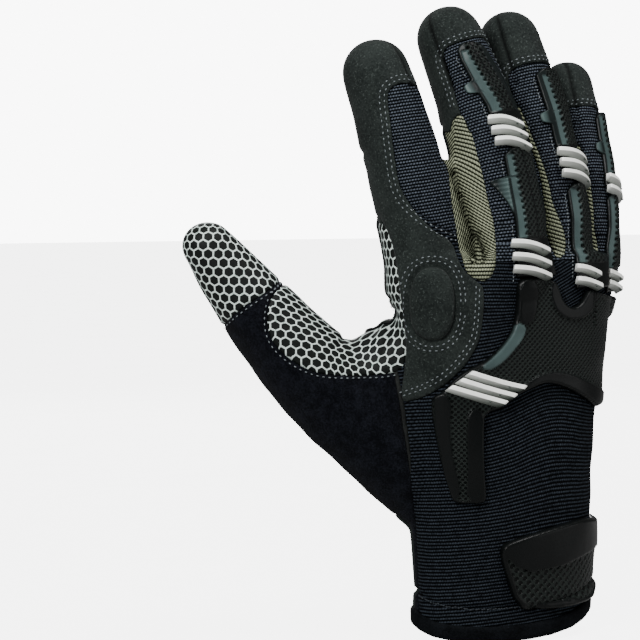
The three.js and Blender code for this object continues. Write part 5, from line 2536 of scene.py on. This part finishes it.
@dataclass
class Stitching:
    """The rows of thread along the seams: where they run and how the stitches lie."""

    skin: Skin
    pitch: float = 2.35
    length: float = 1.2
    guard_pitch: float = 1.5
    guard_length: float = 0.95
    thick: float = 0.55
    lift: float = 0.45
    rows: dict[str, list[StitchRow]] = field(default_factory=dict)

    def build(self) -> list[bpy.types.Object]:
        """Draw every row and sew it.

        Returns:
            The stitches' objects, one for each seam.
        """
        self._index_rows()
        self._thumb_rows()
        self._knit_rows()
        self._guard_rows()
        self._hem_rows()
        self._palm_rows()
        made = []
        for key, rows in self.rows.items():
            bm = bmesh.new()
            total = sum(self._sew(bm, row, key == "guard_edges") for row in rows)
            thread = THREADS.get(key.split("_")[0], Finish.THREAD)
            piece = make_object(f"stitches_{key}", bm, [thread])
            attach(piece, "root")
            LOG.info("stitches_%s: %d stitches", key, total)
            made.append(piece)
        return made

    def _index_rows(self) -> None:
        """Draw the double rows round the index finger's knit, the knuckle pad and the side panel."""
        for by in (1.3, 3.1):
            path = self._shifted(smooth_line(OUTLINES["index_knit"], 2), by)
            u, v = path[:, 0], path[:, 1]
            path = path[(u < -19) & ((u < -31 - (v - 216) * 0.4) | (v < 200))]
            self._along("index_knit", path, limit=self._near_index)
        for by in (2.8, 4.5):
            self._along("knuckle_pad", KnucklePad.outline(by))
        for by in (0.0, 1.8):
            line = smooth_line(SIDE_SEAM, 2, closed=False)
            line = resample(line + np.array([-0.75, 0.65]) * by, 0.5, closed=False)
            self._along("side_panel", line, limit=self._near_index)

    def _thumb_rows(self) -> None:
        """Draw the rows along the thumb's saddle and its cap."""
        path = self._shifted(smooth_line(OUTLINES["thumb_saddle"], 2), 1.2)
        path = path[(path[:, 1] < 141) & (path[:, 0] < -42)]
        self._along("thumb_saddle", path, limit=self._near_thumb)
        path = self._shifted(smooth_line(OUTLINES["thumb_cap"], 2), 1.2)
        path = path[(path[:, 1] < 150) & (path[:, 1] < 262 + path[:, 0])]
        self._along("thumb_cap", path)

    def _knit_rows(self) -> None:
        """Draw the double rows round the top of the knit on the other three fingers."""
        for finger in (1, 2, 3):
            radius = FINGERS[finger].radii[-1]
            top = self.skin.form.lines[finger].length[-1] - KNIT_TOPS[finger]
            low = top - KNIT_SEWN[finger]
            for by in (1.1, 2.7):
                side = radius * math.radians(60) + by
                corner = 5.0 + by
                turn = np.linspace(math.pi, 0, 24)
                wide = np.copysign(side - corner, np.cos(turn)) + corner * np.cos(turn)
                arc = np.stack([wide, top + by - corner + corner * np.sin(turn)], axis=1)
                foot = np.array([(-side, low), (-side, top + by - corner)])
                path = np.concatenate([foot, arc, foot[::-1] * [-1, 1]])
                path = resample(path, 0.5, closed=False)
                self._round_finger(f"{FINGERS[finger].name}_knit", finger, path[:, 1], path[:, 0] / radius)

    def _guard_rows(self) -> None:
        """Draw the fine row beside each guard of the middle and ring fingers."""
        for size in GUARDS[:4]:
            rows = np.array(size.rows)[::-1]
            low = rows[0, 0] + (4 if size.wing < 0 else -2)
            s = np.arange(low, rows[-1, 0] - 3, 0.5)
            s = s[(np.abs(s - size.tab) > 4.5) & ((s < size.wing - 16) | (s > size.wing + 1))]
            turn = np.radians(np.interp(s, rows[:, 0], rows[:, 1])) - 1.1 / FINGERS[size.finger].radii[2]
            self._round_finger("guard_edges", size.finger, s, turn)

    def _hem_rows(self) -> None:
        """Draw the two dark rows above the hem."""
        u = np.arange(-34, 34, 0.5)
        for rise in (12.2, 14.2):
            self._along("hem", np.stack([u, np.interp(u, HEM[0], HEM[1]) + rise], axis=1), over=0.9)

    def _palm_rows(self) -> None:
        """Draw the row inside the palm patch's border and the seams of its quilted fields."""
        path = self._shifted(smooth_line(PALM_OUTLINES["patch"], 2), -1.3)
        path[:, 0] = np.where(path[:, 1] > 114, np.minimum(path[:, 0], 45.5), path[:, 0])
        self._along("palm_patch", path, PALM_WAY, over=0.85)
        for key in ("band", "quad"):
            line = resample(smooth_line(PALM_OUTLINES[key], 2), 0.5, closed=True)
            self._along("palm_quilting", line, PALM_WAY, over=0.5)

    @staticmethod
    def _near_index(points: Array) -> Array:
        """Give a field that is positive on the back of the index finger and the hand."""
        return np.minimum(24 - points[:, 1], -2 - away(points))

    @staticmethod
    def _near_thumb(points: Array) -> Array:
        """Give a field that is positive on the thumb's back, where it faces the view."""
        return -9 - away(points)

    @staticmethod
    def _shifted(outline: Array, by: float) -> Array:
        """Move an outline outwards by a distance and drop the points that come too near it.

        Args:
            outline: The outline's points, two values each.
            by: The distance, negative for inwards.

        Returns:
            The moved points.
        """
        line = resample(outline, 0.5, closed=True)
        ahead = np.roll(line, -1, axis=0) - np.roll(line, 1, axis=0)
        out = np.stack([ahead[:, 1], -ahead[:, 0]], axis=1)
        out /= np.maximum(np.linalg.norm(out, axis=1), 1e-9)[:, None]
        area = np.sum(line[:, 0] * np.roll(line[:, 1], -1) - np.roll(line[:, 0], -1) * line[:, 1])
        moved = line + out * by * math.copysign(1.0, area)
        return moved[np.abs(inside_distance(line, moved)) > abs(by) * 0.93]

    def _along(
        self, key: str, path: Array, way: Array = AWAY, limit: Field | None = None, over: float = 0.0
    ) -> None:
        """Add a row along a path that is drawn in a view.

        Args:
            key: The row's seam.
            path: The path's points across and up.
            way: The direction of the view.
            limit: A field that is positive where the row is kept.
            over: The height above the skin.
        """
        places, normals = self.skin.hit(path, way)
        places = places + normals * over
        if limit is not None and len(places):
            kept = limit(places) > 0
            places, normals = places[kept], normals[kept]
        self._add(key, places, normals)

    def _round_finger(self, key: str, finger: int, s: Array, turn: Array) -> None:
        """Add a row along places round a finger.

        Args:
            key: The row's seam.
            finger: The finger's number.
            s: Lengths along the finger, in millimetres.
            turn: Angles round it from its back, towards the little finger.
        """
        centre, out = self.skin.form.lines[finger].outward(s, turn)
        hits = [self.skin.tree.ray_cast(Vector(start), Vector(way))[0] for start, way in zip(centre, out)]
        kept = [i for i, place in enumerate(hits) if place is not None]
        self._add(key, np.array([hits[i] for i in kept]), out[kept])

    def _add(self, key: str, places: Array, normals: Array) -> None:
        """Split a path where it jumps and keep each run of it.

        Args:
            key: The row's seam.
            places: The points of the path on the skin.
            normals: The way out of the skin at each.
        """
        if len(places) < 3:
            return
        jumps = np.flatnonzero(np.linalg.norm(np.diff(places, axis=0), axis=1) > 3.5) + 1
        for run, ways in zip(np.split(places, jumps), np.split(normals, jumps)):
            if len(run) >= 4:
                self.rows.setdefault(key, []).append(StitchRow(run, ways))

    def _sew(self, bm: bmesh.types.BMesh, row: StitchRow, fine: bool) -> int:
        """Lay one row's stitches down, each a short rounded piece of thread.

        Args:
            bm: The mesh that takes the stitches.
            row: The row.
            fine: Whether its stitches are the guards' smaller ones.

        Returns:
            How many stitches it has.
        """
        pitch, size = (self.guard_pitch, self.guard_length) if fine else (self.pitch, self.length)
        both = np.concatenate([row.places, row.normals], axis=1)
        steps = np.linalg.norm(np.diff(row.places, axis=0), axis=1)
        length = np.concatenate([[0], np.cumsum(steps)])
        spots = np.arange(pitch / 2, length[-1] - size / 2, pitch)
        for spot in spots:
            at = np.array([spot - size / 2, spot, spot + size / 2])
            ends = np.stack([np.interp(at, length, both[:, k]) for k in range(6)], axis=1)
            along = Vector(ends[2, :3] - ends[0, :3]).normalized()
            out = Vector(ends[1, 3:]).normalized()
            side = along.cross(out).normalized()
            made = bmesh.ops.create_icosphere(bm, subdivisions=1, radius=1.0)
            middle = Vector(ends[1, :3]) + out * self.lift
            for vert in made["verts"]:
                a, b, c = vert.co
                half = self.thick / 2
                vert.co = middle + along * (a * size / 2) + side * (b * half) + out * (c * half * 0.7)
        return len(spots)


# The studio


@dataclass(frozen=True)
class SoftLight:
    """A square light that points at the middle of the glove."""

    name: str
    place: tuple[float, float, float]
    size: float
    power: float


LIGHTS = (
    SoftLight("key", (-0.95, -0.55, 0.8), 0.5, 20.0),
    SoftLight("top", (0.15, -0.3, 1.1), 0.5, 11.0),
    SoftLight("fill", (0.85, -0.8, 0.3), 0.7, 3.0),
    SoftLight("back", (0.3, 1.05, 0.6), 0.7, 9.0),
)


@dataclass
class Studio:
    """The floor, the lights and the camera."""

    ambient: float = 0.14
    backdrop: float = 9.0
    lit: tuple[float, float, float] = (-0.02, 0.0, 0.13)
    floor_half: float = 6000.0
    floor_gap: float = 1.2
    turn: float = -32.0
    rise: float = 3.0
    reach: float = 1.1
    lens: float = 155.0
    shift_x: float = -0.128
    shift_y: float = 0.0
    target: tuple[float, float, float] = (-34.8, 21.7, 125.2)

    def build(self) -> None:
        """Set the studio up."""
        self._floor()
        self._camera()
        self._lights()

    def _floor(self) -> None:
        """Lay a plain pale floor just under the hem."""
        bm = bmesh.new()
        bmesh.ops.create_grid(bm, x_segments=8, y_segments=8, size=self.floor_half)
        bmesh.ops.translate(bm, vec=(0, 0, -self.floor_gap), verts=bm.verts)
        s = Shader("studio_floor_matt_paint")
        cloud = s.add("TexNoise", s.place, Scale=per_metre(60.0), Detail=2.0)
        share = s.add("MapRange", cloud, 0.3, 0.7, interpolation_type="SMOOTHSTEP")
        tone = s.add("Mix", share, i6=linear("#f4f4f3"), i7=linear("#f8f8f7"), data_type="RGBA", out=2)
        material = s.finish(Base_Color=tone, Roughness=0.9, Alpha=0.4)
        made = make_object("studio_floor", bm, [], smooth=False)
        made.data.materials.append(material)

    def _camera(self) -> None:
        """Set the camera at the photograph's angle."""
        turn, rise = math.radians(self.turn), math.radians(self.rise)
        way = Vector((math.sin(turn) * math.cos(rise), -math.cos(turn) * math.cos(rise), math.sin(rise)))
        target = Vector(self.target) * MM
        data = bpy.data.cameras.new("camera")
        data.lens = self.lens
        data.sensor_width = 36.0
        data.shift_x = self.shift_x
        data.shift_y = self.shift_y
        camera = bpy.data.objects.new("camera", data)
        camera.location = target + way * self.reach
        camera.rotation_euler = (-way).to_track_quat("-Z", "Y").to_euler()
        bpy.context.scene.collection.objects.link(camera)
        bpy.context.scene.camera = camera

    def _lights(self) -> None:
        """Hang large soft lights to the left, overhead and to the right."""
        world = bpy.data.worlds.new("studio")
        world.use_nodes = True
        tree = world.node_tree
        surface = tree.nodes["Background"]
        surface.inputs[0].default_value = (1.0, 1.0, 1.0, 1.0)
        path = tree.nodes.new("ShaderNodeLightPath")
        level = tree.nodes.new("ShaderNodeMapRange")
        level.inputs["To Min"].default_value = self.ambient
        level.inputs["To Max"].default_value = self.backdrop
        tree.links.new(path.outputs["Is Camera Ray"], level.inputs["Value"])
        tree.links.new(level.outputs[0], surface.inputs[1])
        bpy.context.scene.world = world
        for soft in LIGHTS:
            data = bpy.data.lights.new(soft.name, "AREA")
            data.shape = "SQUARE"
            data.size = soft.size
            data.energy = soft.power
            light = bpy.data.objects.new(soft.name, data)
            light.location = Vector(soft.place)
            way = Vector(self.lit) - Vector(soft.place)
            light.rotation_euler = way.to_track_quat("-Z", "Y").to_euler()
            bpy.context.scene.collection.objects.link(light)


def main() -> None:
    """Build the glove, piece by piece, and the studio round it."""
    logging.basicConfig(level=logging.INFO, format="%(name)s %(message)s")
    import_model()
    Studio().build()
    form = GloveForm()
    skin = Skin(form)
    LOG.info("skin: %d faces", len(skin.bm.faces))
    SewnShell(skin).build()
    Binding(skin).build()
    KnucklePad(skin).build()
    PalmPatch(skin).build()
    KnucklePlate(skin).build()
    guards = FingerGuards(skin)
    guards.build()
    RaisedBars(skin, guards).build()
    WristStrap(skin).build()
    Stitching(skin).build()


if __name__ == "__main__":
    main()
